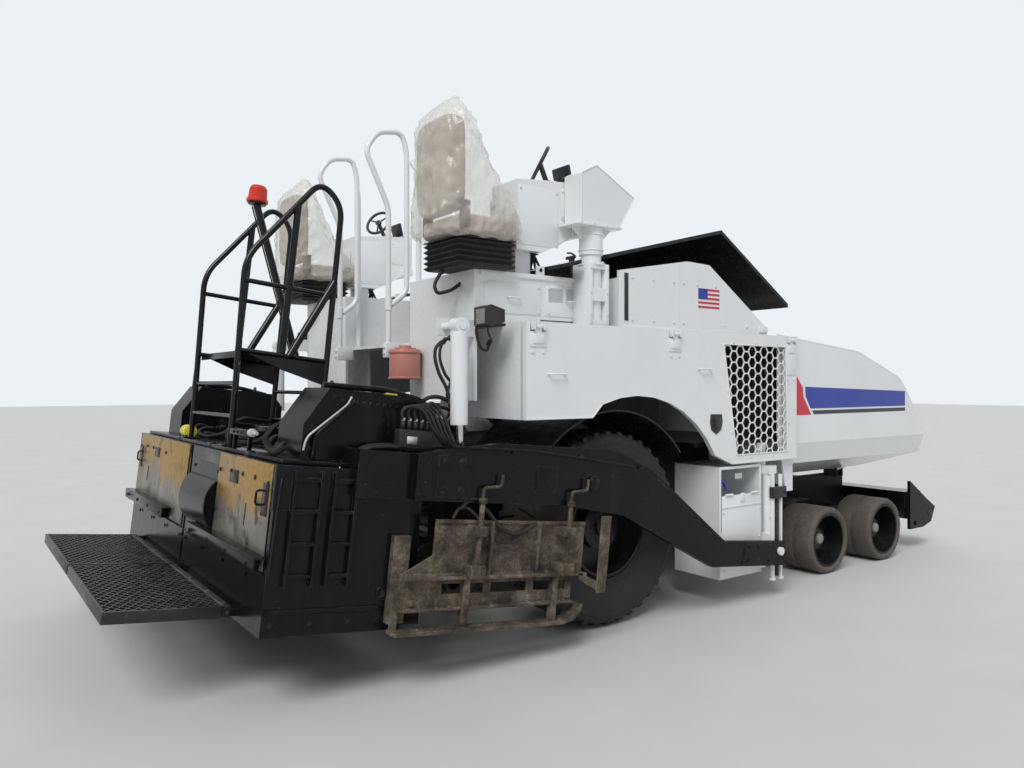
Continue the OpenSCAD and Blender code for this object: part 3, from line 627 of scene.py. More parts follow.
def spinProfile(bm, profile, middle, steps, side=1, closed=True):
    # a section in radius and width, turned about a sideways axle
    middle = Vector(middle)
    verts = [bm.verts.new(middle + Vector((0, side * w, r))) for r, w in profile]
    pairs = list(zip(verts, verts[1:])) + ([(verts[-1], verts[0])] if closed else [])
    spun(bm, verts, [bm.edges.new(pair) for pair in pairs], middle, (0, 1, 0), steps)


def addRing(bm, middle, way, radius, thick, turns=24, sides=8):
    # a round ring: a small circle turned about way
    middle, way = Vector(middle), Vector(way).normalized()
    side = way.orthogonal().normalized()
    made = bmesh.ops.create_circle(bm, segments=sides, radius=thick,
                                   matrix=facing(middle + side * radius, way.cross(side)))["verts"]
    spun(bm, made, edgesOf(made), middle, way, turns)


def addBolts(bm, spots, way, radius=0.011, high=0.008):
    for spot in spots:
        addBolt(bm, spot, way, radius, high)


def sideBolts(bm, side, y, xs, zs, radius=0.006, high=0.004):
    # bolts in columns on an outer face
    addBolts(bm, [at(x, side * y, z) for x in xs for z in zs], (0, side, 0), radius, high)


def footBolts(bm, spot, dx, dy, radius, high=0.008):
    addBolts(bm, [spot + Vector((a, b, 0)) for a in (-dx, dx) for b in (-dy, dy)], (0, 0, 1), radius, high)


def addWeld(bm, start, end, size=0.005):
    # a welded seam: overlapping beads along the joint
    start, end = Vector(start), Vector(end)
    count = max(2, int((end - start).length / (size * 2.4)))
    for bead in range(count + 1):
        made = bmesh.ops.create_icosphere(bm, subdivisions=1, radius=size)["verts"]
        bmesh.ops.translate(bm, verts=made, vec=start.lerp(end, bead / count))


def addGrating(bm, low, high, pitch, bar, depth):
    # diamonds: squares turned by 45 degrees, stretched to the pitch and cut to size
    low, high = Vector(low), Vector(high)
    middle = (low + high) / 2
    count = 2 * int(max((high.x - low.x) / pitch[0], (high.y - low.y) / pitch[1])) + 4
    mesh = bmesh.new()
    bmesh.ops.create_grid(mesh, x_segments=count, y_segments=count, size=0.5)
    wide = count / math.sqrt(2)
    bmesh.ops.rotate(mesh, verts=mesh.verts, cent=(0, 0, 0), matrix=Matrix.Rotation(math.pi / 4, 3, "Z"))
    bmesh.ops.scale(mesh, verts=mesh.verts, vec=(wide * pitch[0], wide * pitch[1], 1))
    bmesh.ops.translate(mesh, verts=mesh.verts, vec=(middle.x, middle.y, high.z))
    for corner, way in ((low, (-1, 0, 0)), (low, (0, -1, 0)), (high, (1, 0, 0)), (high, (0, 1, 0))):
        bmesh.ops.bisect_plane(mesh, geom=mesh.verts[:] + mesh.edges[:] + mesh.faces[:], dist=1e-6,
                               plane_co=corner, plane_no=way, clear_outer=True)
    slim = [f for f in mesh.faces if f.calc_area() < pitch[0] * pitch[1] * 0.06]
    bmesh.ops.delete(mesh, geom=slim, context="FACES")
    rims = set(bmesh.ops.inset_individual(mesh, faces=mesh.faces[:], thickness=bar / 2, depth=0.0,
                                          use_even_offset=True)["faces"])
    bmesh.ops.delete(mesh, geom=[f for f in mesh.faces if f not in rims], context="FACES")
    bmesh.ops.remove_doubles(mesh, verts=mesh.verts, dist=1e-5)
    bmesh.ops.recalc_face_normals(mesh, faces=mesh.faces)
    bmesh.ops.solidify(mesh, geom=mesh.faces[:], thickness=depth)
    bmesh.ops.recalc_face_normals(mesh, faces=mesh.faces)
    cut = bpy.data.meshes.new("gratingCut")
    mesh.to_mesh(cut)
    mesh.free()
    bm.from_mesh(cut)
    bpy.data.meshes.remove(cut)


screedSet = dict(tow=(1.5, 0, 0.356), tilt=6.6)
towPivot = at(*screedSet["tow"])
hangTurn = (Matrix.Translation(towPivot) @ Matrix.Rotation(math.radians(screedSet["tilt"]), 4, "Y")
            @ Matrix.Translation(-towPivot))


def hang(bm):
    # what was drawn level goes nose down with the screed
    bmesh.ops.transform(bm, matrix=hangTurn, verts=bm.verts)


# drive tyre: bulged sidewalls with rings at the bead, short lugs over the shoulders
driveTyreSet = dict(
    middle=(0.0, 1.215, 0.65), turns=120, lugs=38, lugLow=0.618, lugHigh=0.6485, lugLong=0.046,
    half=[(0.3226, 0.142), (0.33, 0.15), (0.341, 0.16), (0.348, 0.1665), (0.354, 0.1675), (0.358, 0.1645),
          (0.364, 0.1705), (0.371, 0.1735), (0.375, 0.1715), (0.384, 0.18), (0.4, 0.1895), (0.43, 0.2025),
          (0.465, 0.2115), (0.5, 0.2145), (0.535, 0.2135), (0.558, 0.2105), (0.566, 0.212), (0.572, 0.209),
          (0.59, 0.2045), (0.606, 0.1965), (0.618, 0.182), (0.6255, 0.155), (0.63, 0.1), (0.6315, 0.0)])
frontTyreSet = dict(
    turns=84, half=[(0.2236, 0.16), (0.226, 0.1665), (0.233, 0.1735), (0.243, 0.1775), (0.253, 0.178),
                    (0.262, 0.1765), (0.27, 0.1725), (0.2755, 0.1655), (0.279, 0.154), (0.28, 0.135),
                    (0.28, 0.017), (0.2785, 0.0125), (0.2685, 0.0095), (0.2668, 0.0)])
hubSet = dict(
    drive=[(0.0005, 0.142), (0.052, 0.142), (0.06, 0.136), (0.062, 0.112), (0.098, 0.112), (0.106, 0.104),
           (0.108, 0.066), (0.136, 0.066), (0.142, 0.058), (0.142, 0.02)],
    front=[(0.0005, 0.098), (0.03, 0.098), (0.038, 0.094), (0.045, 0.084), (0.047, 0.07), (0.06, 0.069)])


def bothSides(half):
    return half + [(r, -w) for r, w in reversed(half[:-1])]


def makeDriveTyre(side, label):
    s = driveTyreSet
    middle = mirrored(side)(*s["middle"])
    bm = bmesh.new()
    spinProfile(bm, bothSides(s["half"]), middle, s["turns"])
    for lug in range(s["lugs"]):
        for half in (-1, 1):
            angle = 2 * math.pi * (lug + (0.5 if half > 0 else 0)) / s["lugs"]
            low, high, long = s["lugLow"], s["lugHigh"], s["lugLong"]
            made = bmesh.ops.create_cube(bm, size=1.0)["verts"]
            for v in made:
                top, outer = v.co.z > 0, v.co.y > 0
                # each lug leans over the shoulder and widens towards it
                v.co = Vector((v.co.x * (long * (1.0 if outer else 0.72) - (0.008 if top else 0))
                               + (0.0 if outer else 0.03),
                               half * ((0.178 if top else 0.196) if outer else 0.018),
                               (high - (0.012 if outer else 0)) if top else (low - (0.03 if outer else 0))))
            bmesh.ops.rotate(bm, verts=made, cent=(0, 0, 0), matrix=Matrix.Rotation(angle, 3, "Y"))
            bmesh.ops.translate(bm, verts=made, vec=middle)
            bmesh.ops.recalc_face_normals(bm, faces=list({f for v in made for f in v.link_faces}))
    tyre = finishPiece("driveTyre" + label, bm, driveRubber, "drive_wheel_" + label.lower())
    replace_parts(tyre, "drive_tyre_" + label.lower())


def makeFrontTyre(number):
    s = frontTyreSet
    low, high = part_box("front_tyre_%d" % number)
    middle = Vector([(a + b) / 2 for a, b in zip(low, high)])
    bm = bmesh.new()
    spinProfile(bm, bothSides(s["half"]), middle, s["turns"])
    seed = Vector((number * 3.7, 1.3, 8.1))
    for v in bm.verts:
        # the solid rubber is scuffed and chipped along its shoulders
        out = Vector((v.co.x - middle.x, 0, v.co.z - middle.z))
        reach = out.length
        if reach > 0.24:
            scuff = noise.noise((v.co - middle) * 14 + seed)
            v.co -= out.normalized() * max(0.0, scuff) * 0.006 * (reach - 0.24) / 0.04
    tyre = finishPiece("frontTyre%d" % number, bm, solidRubber, "front_wheel_%d" % number, angle=40)
    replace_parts(tyre, "front_tyre_%d" % number)
    return middle


def wheelBolts(bm, middle, side, count, start, ring, out, radius, high):
    spots = [middle + Vector((c, 0, s)) * ring + Vector((0, side * out, 0)) for c, s in circle(count, start)]
    addBolts(bm, spots, (0, side, 0), radius, high)


def dressWheels():
    for side, label in sides:
        makeDriveTyre(side, label)
        body, middle = "drive_wheel_" + label.lower(), at(0, side * 1.215, 0.65)
        bm = bmesh.new()
        # planetary hub with its bolt circle, cover and wheel nuts
        spinProfile(bm, hubSet["drive"], middle, 48, side, closed=False)
        wheelBolts(bm, middle, side, 12, 0, 0.084, 0.112, 0.008, 0.008)
        for c, s in circle(10, 12):
            spot = middle + Vector((c, 0, s)) * 0.178 + Vector((0, side * 0.001, 0))
            addBolt(bm, spot, (0, side, 0), 0.015, 0.02)
            addRod(bm, spot, spot + Vector((0, side * 0.036, 0)), 0.007, 10)
        finishPiece("driveHub" + label, bm, hubBlack, body)
        bm = bmesh.new()
        stem = middle + Vector((0.0, side * 0.06, -0.29))
        addRod(bm, stem, stem + Vector((0, side * 0.055, 0.016)), 0.005, 10)
        addRod(bm, stem + Vector((0, side * 0.05, 0.0145)), stem + Vector((0, side * 0.068, 0.02)), 0.0065, 10)
        finishPiece("driveValve" + label, bm, wornSteel, body)
    for number in (1, 2, 3, 4):
        middle = makeFrontTyre(number)
        side = 1 if middle.y > 0 else -1
        bm = bmesh.new()
        spinProfile(bm, hubSet["front"], middle, 36, side, closed=False)
        wheelBolts(bm, middle, side, 6, 30, 0.075, 0.046, 0.01, 0.012)
        finishPiece("frontHub%d" % number, bm, hubGrey, "front_wheel_%d" % number)


dressWheels()
print("tyres, hubs and wheel nuts set")


# platform rails: bent tubes on foot plates
handrailSet = dict(radius=0.019, bend=0.06, upright=0.4, front=0.48, top=3.33, deck=1.88)


def makeHandrails():
    s = handrailSet
    top, deck, front = s["top"], s["deck"], s["front"]
    bm = bmesh.new()
    for side in (-1, 1):
        p = mirrored(side)
        line = ((-1.1, deck - 0.09), (-1.1, 2.8), (-1.272, top - 0.165), (-1.18, top - 0.03), (-1.0, top - 0.001),
                (-0.96, top - 0.13), (-0.96, 2.23), (-1.079, 2.14))
        addTube(bm, [p(x, s["upright"], z) for x, z in line], s["radius"], s["bend"])
        addTube(bm, [p(-0.91, front, deck), p(-0.91, front, top - 0.28), p(-0.945, 0.435, top - 0.2)], s["radius"],
                0.04)
        sideBox(bm, side, -1.13, -1.0005, 0.375, 0.425, deck - 0.1, deck, 0.003)
        sideBox(bm, side, -0.955, -0.865, front - 0.045, front + 0.045, deck + 0.0005, deck + 0.0085)
        footBolts(bm, p(-0.91, front, deck + 0.008), 0.033, 0.033, 0.008, 0.006)
        addBolts(bm, [p(-1.13, 0.4, deck - h) for h in (0.03, 0.07)], (-1, 0, 0), 0.009, 0.007)
        # collars where two tubes meet
        addRod(bm, p(-1.1, s["upright"], 2.1), p(-1.1, s["upright"], 2.18), s["radius"] * 1.25, 20)
    rails = finishPiece("platformRails", bm, railWhite, "tractor")
    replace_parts(rails, "handrails")


# sprung seats under the covers: a crowned cushion and back, each with side rolls and a sewn centre
seatSet = dict(x=-0.965, y=1.2, cushion=((-0.235, -0.228, 2.462), (0.248, 0.228, 2.592)),
               back=((-0.266, -0.212, 2.588), (-0.132, 0.212, 3.176)), crown=0.018, seam=0.008)


def padForm(bm, low, high, away, crown, seam):
    # a box drawn in at its corners, crowned on the side it looks to, with two sewn channels along it
    low, high, away = Vector(low), Vector(high), Vector(away)
    made = bmesh.ops.create_cube(bm, size=2.0)["verts"]
    bmesh.ops.subdivide_edges(bm, edges=edgesOf(made), cuts=11, use_grid_fill=True)
    half, middle = (high - low) / 2, (high + low) / 2
    for v in bm.verts:
        p = v.co.copy()
        size = (abs(p.x) ** 7 + abs(p.y) ** 7 + abs(p.z) ** 7) ** (1 / 7)
        p = p / size if size else p
        flat = [c for c, f in zip(p, away) if abs(f) < 0.5]
        rise = (1 - flat[0] ** 2) * (1 - flat[1] ** 2)
        across = abs(p.y)
        roll = math.exp(-((across - 0.78) / 0.16) ** 2)
        groove = math.exp(-((across - 0.56) / 0.035) ** 2)
        ribs = math.exp(-(((p.x + p.z - away.dot(p)) * 2.4 % 1.0 - 0.5) / 0.09) ** 2) * (across < 0.52)
        v.co = Vector([m + h * c * (1 - 0.045 * (1 - rise)) for m, h, c in zip(middle, half, p)])
        v.co += away * max(0.0, p.dot(away)) * (
            crown * (rise - 0.75) + 0.012 * roll - seam * groove - seam * 0.7 * ribs)
        for axis in range(3):
            v.co[axis] = min(max(v.co[axis], low[axis]), high[axis])
    bmesh.ops.recalc_face_normals(bm, faces=bm.faces)


def makeSeats():
    s = seatSet
    for side, label in sides:
        x, mid = s["x"], side * s["y"]
        for part, away in (("cushion", (0, 0, 1)), ("back", (1, 0, 0))):
            bm = bmesh.new()
            padForm(bm, *s[part], away, s["crown"], s["seam"])
            bmesh.ops.translate(bm, verts=bm.verts, vec=at(x, mid, 0))
            pad = finishPiece("seat" + part.title() + label, bm, seatCloth, "tractor", smooth=True)
            round = pad.modifiers.new("rounding", "SUBSURF")
            round.levels = round.render_levels = 1
            if side < 0 and part == "cushion":
                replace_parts(pad, "seats")
        # tilt hinge between the two, and the cushion's pan on the bellows
        bm = bmesh.new()
        for y in (mid - 0.212, mid + 0.212):
            addBox(bm, at(x - 0.2, y - 0.006, 2.5), at(x - 0.13, y + 0.006, 2.66), 0.004)
            addRod(bm, at(x - 0.165, y - 0.009, 2.63), at(x - 0.165, y + 0.009, 2.63), 0.022, 20)
        addBox(bm, at(x - 0.205, mid - 0.2, 2.452), at(x + 0.205, mid + 0.2, 2.4605), 0.003)
        finishPiece("seatPan" + label, bm, lampPlastic, "tractor")


# control consoles: trim, switches, screen, stop button and the cables under them
consoleSet = dict(outer=1.305, inner=1.04)


def makeConsoles():
    for side, label in sides:
        low, high = sorted(side * consoleSet[edge] for edge in ("inner", "outer"))
        mid = (low + high) / 2
        bm = bmesh.new()
        # flat lid rims, seams, a flange under the front box and its bolts
        for y in (low + 0.01, high - 0.01):
            addTube(bm, [at(-0.68, y, 2.869), at(-0.36, y, 2.8985)], 0.005, sides=3)
        for y, way in ((low, -1), (high, 1)):
            for x0, x1, z0, z1, thick in ((-0.672, -0.352, 2.47, 2.84, 0.003), (-0.334, -0.15, 2.66, 2.86, 0.004)):
                addBox(bm, at(x0, min(y, y + way * thick), z0), at(x1, max(y, y + way * thick), z1), 0.0015)
            for thick, xs, zs in ((0.003, (-0.655, -0.37), (2.49, 2.82)), (0.004, (-0.32, -0.165), (2.68, 2.84))):
                addBolts(bm, [at(x, y + way * thick, z) for x in xs for z in zs], (0, way, 0), 0.006, 0.004)
        addBox(bm, at(-0.245, low - 0.018, 2.5665), at(-0.129, high + 0.018, 2.6235), 0.004)
        # small box on the rear face
        addBox(bm, at(-0.755, mid - 0.06, 2.6), at(-0.6855, mid + 0.06, 2.76), 0.006)
        finishPiece("consoleTrim" + label, bm, bodyWhite, "tractor")
        bm = bmesh.new()
        # switch panel on the slope behind the front box, screen and rocker switches
        turn = Matrix.Rotation(math.radians(-5.3), 4, "Y")
        addBox(bm, at(-0.335, low + 0.03, 2.899), at(-0.15, high - 0.03, 2.913), 0.004, turn)
        for row in range(4):
            for column in range(5):
                x, y, z = -0.315 + row * 0.042, low + 0.055 + column * (high - low - 0.11) / 4, row * 0.004
                addBox(bm, at(x - 0.012, y - 0.008, 2.898 + z), at(x + 0.012, y + 0.008, 2.917 + z), 0.003, turn)
        addBox(bm, at(-0.63, low + 0.05, 2.8405), at(-0.49, low + 0.105, 2.852), 0.003)
        for row in range(3):
            x = -0.61 + row * 0.045
            addRod(bm, at(x, low + 0.078, 2.851), at(x, low + 0.078, 2.858), 0.012, 20)
        # screen on a short stalk
        addRod(bm, at(-0.2, mid, 2.905), at(-0.205, mid, 2.96), 0.012, 14)
        turn = Matrix.Rotation(math.radians(-14), 4, "Y")
        addBox(bm, at(-0.222, mid - 0.085, 2.93), at(-0.198, mid + 0.085, 3.045), 0.008, turn)
        finishPiece("consoleSwitches" + label, bm, lampPlastic, "tractor")
        bm = bmesh.new()
        addRod(bm, at(-0.57, mid + 0.075, 2.8405), at(-0.57, mid + 0.075, 2.866), 0.016, 24)
        addRod(bm, at(-0.57, mid + 0.075, 2.866), at(-0.57, mid + 0.075, 2.884), 0.022, 24, soft=0.004)
        finishPiece("stopButton" + label, bm, beaconRed, "tractor")
        bm = bmesh.new()
        # cable loom from the console's foot down to the shelf
        for k in range(4):
            y = mid - 0.05 + k * 0.022
            addHose(bm, [at(-0.49 - k * 0.012, y, 2.434), at(-0.47, y, 2.4), at(-0.45 - k * 0.02, y - 0.02, 2.34),
                         at(-0.42, y - 0.03, 2.2875)], 0.0085)
        addBox(bm, at(-0.52, mid - 0.075, 2.425), at(-0.465, mid + 0.04, 2.4315), 0.003)
        finishPiece("consoleLoom" + label, bm, hoseRubber, "tractor")


makeHandrails()
makeSeats()
makeConsoles()
print("rails, seats and consoles built")


# side doors: hinge plates, handles, latch, seams and bolts
doorSet = dict(face=1.54, hinges=(-0.7, 0.48, 1.79), handles=((0.72, 0.84, 1.705), (-0.62, -0.5, 1.66)),
               latch=(0.905, 1.318), frame=((0.988, 1.887), (1.723, 1.887), (1.748, 1.081), (1.134, 1.081)),
               screws=((1.1, 1.905), (1.36, 1.905), (1.62, 1.905), (1.76, 1.3), (1.758, 1.6), (1.3, 1.06),
                       (1.56, 1.06), (1.082, 1.25), (1.035, 1.55)),
               shield=((-0.058, 0.068), (0.058, 0.066), (0.066, 0.01), (0.05, -0.045), (0, -0.076),
                       (-0.052, -0.045), (-0.066, 0.01)))


def makeDoorDress(side, label):
    s = doorSet
    body, face = "door_" + label.lower(), s["face"]

    def out(x, y, z):
        return at(x, side * face + side * y, z)

    def slabBox(x0, x1, z0, z1, y0, y1, soft=0.002):
        sideBox(bm, side, x0, x1, face + y0, face + y1, z0, z1, soft)

    bm = bmesh.new()
    for x in s["hinges"]:
        tall = 0.085 if x < 1.7 else 0.235
        slabBox(x - 0.062, x + 0.062, 1.905 - tall, 1.905, 0.0, 0.006)
        slabBox(x - 0.04, x + 0.04, 1.84, 1.9, 0.006, 0.012)
        z = 1.79 if x < 1.7 else 1.635
        addBolts(bm, [out(x + d, 0.0, z) for d in (-0.04, 0.04)], (0, side, 0), 0.0085, 0.005)
    for low, high, z in s["handles"]:
        addBow(bm, out, low, high, 0.0, 0.028, z)
        for x in (low, high):
            addRod(bm, out(x, 0.0, z), out(x, 0.003, z), 0.013, 16)
    # folded rim along the door's lower edge and round the arch
    rim = [out(-0.783, 0.003, 1.39), out(-0.27, 0.003, 1.39)]
    for step in range(9):
        angle = math.radians(110 - 10 * step)
        rim.append(out(0.12 + 0.896 * math.cos(angle), 0.003, 0.65 + 0.876 * math.sin(angle)))
    addTube(bm, rim, 0.0045, 0.01, 3, 2)
    slabBox(1.1, 1.862, 1.018, 1.03, 0.0, 0.004, 0.001)
    # grille frame with its screws
    for (xa, za), (xb, zb) in zip(s["frame"], s["frame"][1:] + s["frame"][:1]):
        addTube(bm, [out(xa, 0.0005, za), out(xb, 0.0005, zb)], 0.0055, sides=3)
    addBolts(bm, [out(x, 0.0, z) for x, z in s["screws"]], (0, side, 0), 0.007, 0.004)
    finishPiece("doorFittings" + label, bm, bodyWhite, body)
    bm = bmesh.new()
    # shield-shaped latch sunk in a rim, with its paddle
    x, z = s["latch"]
    made = addPlate(bm, [(x + a, z + b) for a, b in s["shield"]], side * face, side * face + side * 0.007)
    softened(bm, edgesOf(made), 0.002)
    slabBox(x - 0.03, x + 0.03, z - 0.02, z + 0.04, 0.007, 0.015, 0.005)
    addRod(bm, out(x, 0.007, z - 0.042), out(x, 0.012, z - 0.042), 0.011, 20)
    # rubber stops and seal along the door's inner edge
    for x, z in ((-0.6, 1.4), (0.3, 1.72), (1.5, 1.72)):
        addRod(bm, at(x, side * 1.499, z), at(x, side * 1.5025, z), 0.012, 14)
    finishPiece("doorLatch" + label, bm, lampPlastic, body)


# coloured bands on the hopper's side, no lettering
bandSet = dict(face=1.4905, thick=0.0012,
               flash=[(1.912, 1.69), (1.965, 1.632), (2.02, 1.572), (2.028, 1.5), (2.135, 1.352), (1.918, 1.352)],
               blue=[(2.052, 1.578), (3.6, 1.535), (3.6, 1.402), (2.128, 1.402), (2.06, 1.5)],
               dark=[(2.15, 1.386), (3.6, 1.386), (3.6, 1.355), (2.172, 1.355)])


def makeBands(side, label):
    s = bandSet
    face = side * s["face"]
    for part, finish in (("flash", bandRed), ("blue", bandBlue), ("dark", bandDark)):
        bm = bmesh.new()
        addPlate(bm, s[part], face - side * 0.0004, face + side * s["thick"])
        finishPiece("hopperBand" + part.title() + label, bm, finish, "wing_" + label.lower())


# small striped flag on the hood wall
flagSet = dict(face=1.4555, low=(0.815, 2.145), high=(1.045, 2.285), stripes=9, ground=0.1)


def makeFlag(side, label):
    s = flagSet
    face = side * s["face"]
    (x0, z0), (x1, z1) = s["low"], s["high"]
    tall = (z1 - z0) / s["stripes"]
    stripes = [(x0 if row < 4 else x0 + s["ground"], x1, z0 + row * tall, z0 + (row + 1) * tall)
               for row in range(0, s["stripes"], 2)]
    ground = [(x0, x0 + s["ground"], z0 + 4 * tall, z1)]
    for part, finish, plates in (("Red", bandRed, stripes), ("Blue", bandBlue, ground)):
        bm = bmesh.new()
        for a, b, c, d in plates:
            addPlate(bm, [(a, c), (b, c), (b, d), (a, d)], face - side * 0.0004, face + side * 0.0012)
        finishPiece("hoodFlag" + part + label, bm, finish, "tractor")


def makeBodyDress():
    for side, label in sides:
        p = mirrored(side)
        bm = bmesh.new()
        # seams and latch plates of the hood walls, lifting eyes, side box lids and their bolts
        sideBoxes(bm, side, ((0.6, 0.612, 1.454, 1.4575, 1.99, 2.43, 0.0),
                             (0.08, 1.6, 1.454, 1.46, 1.975, 1.99, 0.0015),
                             (1.5, 1.6, 1.454, 1.468, 1.992, 2.04, 0.003)))
        sideBolts(bm, side, 1.455, (0.16, 0.36, 0.56, 0.66, 1.1, 1.36), (2.03,), 0.008, 0.005)
        sideBolts(bm, side, 1.455, (0.16, 0.36, 0.56, 0.66, 0.8, 1.0), (2.31,), 0.008, 0.005)
        sideBoxes(bm, side, ((-0.96, -0.02, 1.309, 1.322, 2.255, 2.286, 0.003),
                             (-0.93, -0.5, 1.309, 1.3145, 2.03, 2.225),
                             (-0.46, -0.05, 1.309, 1.3145, 2.03, 2.225)))
        sideBolts(bm, side, 1.3145, (-0.91, -0.52, -0.44, -0.07), (2.05, 2.205), 0.007, 0.005)
        for x in (-0.72, -0.25):
            addBow(bm, p, x - 0.045, x + 0.045, 1.313, 1.34, 2.13)
        # lifting eyes on the side box
        for x in (-0.9, -0.1):
            addRing(bm, p(x, 1.27, 2.312), (0, 1, 0), 0.026, 0.008)
        # edge strip along the shelf, and the lower panel's lid with its hinges and catch
        sideBoxes(bm, side, ((-0.78, 1.86, 1.44, 1.472, 1.9705, 1.9765, 0.0015),
                             (0.985, 1.43, 1.5245, 1.5285, 0.23, 0.79, 0.0015),
                             (0.985, 1.43, 1.5285, 1.5325, 0.7, 0.715, 0.001)))
        for x in (1.06, 1.35):
            addRod(bm, p(x - 0.04, 1.531, 0.795), p(x + 0.04, 1.531, 0.795), 0.009, 16)
        sideBox(bm, side, 1.19, 1.23, 1.5285, 1.54, 0.74, 0.8, 0.003)
        sideBolts(bm, side, 1.5285, (1.0, 1.415), (0.25, 0.46, 0.67))
        # three-cornered stiffener under the panel
        addPlate(bm, [(0.962, 0.192), (1.44, 0.3), (1.44, 0.34), (0.962, 0.3)], side * 1.5245, side * 1.53)
        # rail guides of the levelling column
        for x in (1.47, 1.565):
            sideBoxes(bm, side, ((x, x + 0.022, 1.585, 1.607, 0.15, 0.92),
                                 (x - 0.008, x + 0.03, 1.58, 1.612, 0.13, 0.15)))
        for z in (0.35, 0.6):
            sideBox(bm, side, 1.46, 1.6, 1.583, 1.5905, z, z + 0.02)
        finishPiece("bodyFittings" + label, bm, bodyWhite, "tractor")
        bm = bmesh.new()
        # dark seams, vent strip, screw of the levelling column and its motor block
        sideBoxes(bm, side, ((0.088, 0.122, 1.4545, 1.459, 2.02, 2.335, 0.001),
                             (-0.5, -0.02, 1.309, 1.3125, 1.998, 2.004, 0.0),
                             (1.455, 1.615, 1.585, 1.625, 0.745, 0.83, 0.004)))
        addRod(bm, p(1.528, 1.6, 0.16), p(1.528, 1.6, 0.75), 0.014, 16)
        for turn in range(36):
            addRing(bm, p(1.528, 1.6, 0.175 + turn * 0.0155), (0.0, 0.1, 1), 0.0145, 0.0028, 14, 5)
        sideBolts(bm, side, 1.625, (1.475, 1.595), (0.787,), 0.009, 0.006)
        finishPiece("bodyDark" + label, bm, lampPlastic, "tractor")
        bm = bmesh.new()
        # blank label plates
        sideBoxes(bm, side, ((-0.441, -0.325, 1.3143, 1.3162, 2.122, 2.21, 0.0),
                             (-0.292, -0.182, 1.3143, 1.3162, 2.132, 2.212, 0.0),
                             (1.14, 1.22, 1.518, 1.5205, 0.905, 0.945, 0.0)))
        finishPiece("labelPlates" + label, bm, labelGrey, "tractor")
        bm = bmesh.new()
        # fittings in the open compartment
        sideBox(bm, side, 0.995, 1.09, 1.2, 1.4, 0.8355, 0.93, 0.01)
        addRod(bm, p(1.04, 1.4, 0.89), p(1.04, 1.47, 0.89), 0.022, 20)
        addTube(bm, [p(1.04, 1.46, 0.89), p(1.04, 1.49, 0.89), p(1.06, 1.5, 0.86), p(1.06, 1.5, 0.8355)], 0.012, 0.02,
                5)
        finishPiece("compartmentValve" + label, bm, valveBlue, "tractor")


# vent stack: flange wings, bolts, band clamps
stackSet = dict(x=-0.154, y=-1.396)


def hoodLine(low):
    return [(-0.303, low), (-0.303, 2.931), (-0.177, 2.996), (0.16, 2.826), (0.024, low)]


def makeStackDress():
    x, y = stackSet["x"], stackSet["y"]
    bm = bmesh.new()
    for z in (2.46, 2.56):
        addRing(bm, at(x, y, z), (0, 0, 1), 0.079, 0.0045, 40, 6)
    addBolts(bm, [at(x + 0.0855 * c, y + 0.0855 * s, 2.378) for c, s in circle(8, 20)], (0, 0, 1), 0.006, 0.005)
    for dx in (-0.16, -0.055, 0.055, 0.15):
        addBolt(bm, at(x + dx, y - 0.093, 2.612), (0, -1, 0), 0.0045, 0.004)
        addBolt(bm, at(x + dx, y - 0.088, 2.62), (0, 0, 1), 0.007, 0.006)
    # three-cornered wings under the flange
    for way in (-1, 1):
        addPlate(bm, [(x + way * a, b) for a, b in ((0.078, 2.604), (0.165, 2.604), (0.078, 2.52))], y - 0.004,
                 y + 0.004)
    for z in (2.045, 2.185, 2.34):
        addBolts(bm, [at(x + d, y - 0.082, z) for d in (-0.07, 0.07)], (0, -1, 0), 0.006, 0.004)
    # welded seam round the hood's sloping faces
    for edge in (y - 0.0805, y + 0.0805):
        addTube(bm, [at(a, edge, b) for a, b in hoodLine(2.622)], 0.0035, 0.012, 3, 3)
    finishPiece("stackFittings", bm, railWhite, "tractor")
    bm = bmesh.new()
    # petcock and cap beside the stack
    addRod(bm, at(-0.235, -1.3, 2.3855), at(-0.235, -1.3, 2.42), 0.02, 20)
    addRod(bm, at(-0.235, -1.33, 2.425), at(-0.235, -1.25, 2.425), 0.011, 16)
    addTube(bm, [at(-0.235, -1.335, 2.43), at(-0.275, -1.34, 2.445), at(-0.305, -1.34, 2.44)], 0.006, 0.02, 4)
    addRod(bm, at(-0.235, -1.3, 2.2845), at(-0.235, -1.3, 2.39), 0.012, 16)
    finishPiece("stackValve", bm, lampPlastic, "tractor")
    bm = bmesh.new()
    addRod(bm, at(-0.06, -1.24, 2.2845), at(-0.06, -1.24, 2.3), 0.046, 28)
    addRod(bm, at(-0.06, -1.24, 2.3), at(-0.06, -1.24, 2.335), 0.056, 28, soft=0.006)
    for c, s in circle(14):
        spot = at(-0.06 + 0.056 * c, -1.24 + 0.056 * s, 2.317)
        addRod(bm, spot - Vector((0, 0, 0.012)), spot + Vector((0, 0, 0.012)), 0.005, 8)
    finishPiece("tankCap", bm, railWhite, "tractor")


for side, label in sides:
    makeDoorDress(side, label)
    makeBands(side, label)
    makeFlag(side, label)
makeBodyDress()
makeStackDress()
print("doors, panels and stack fitted out")


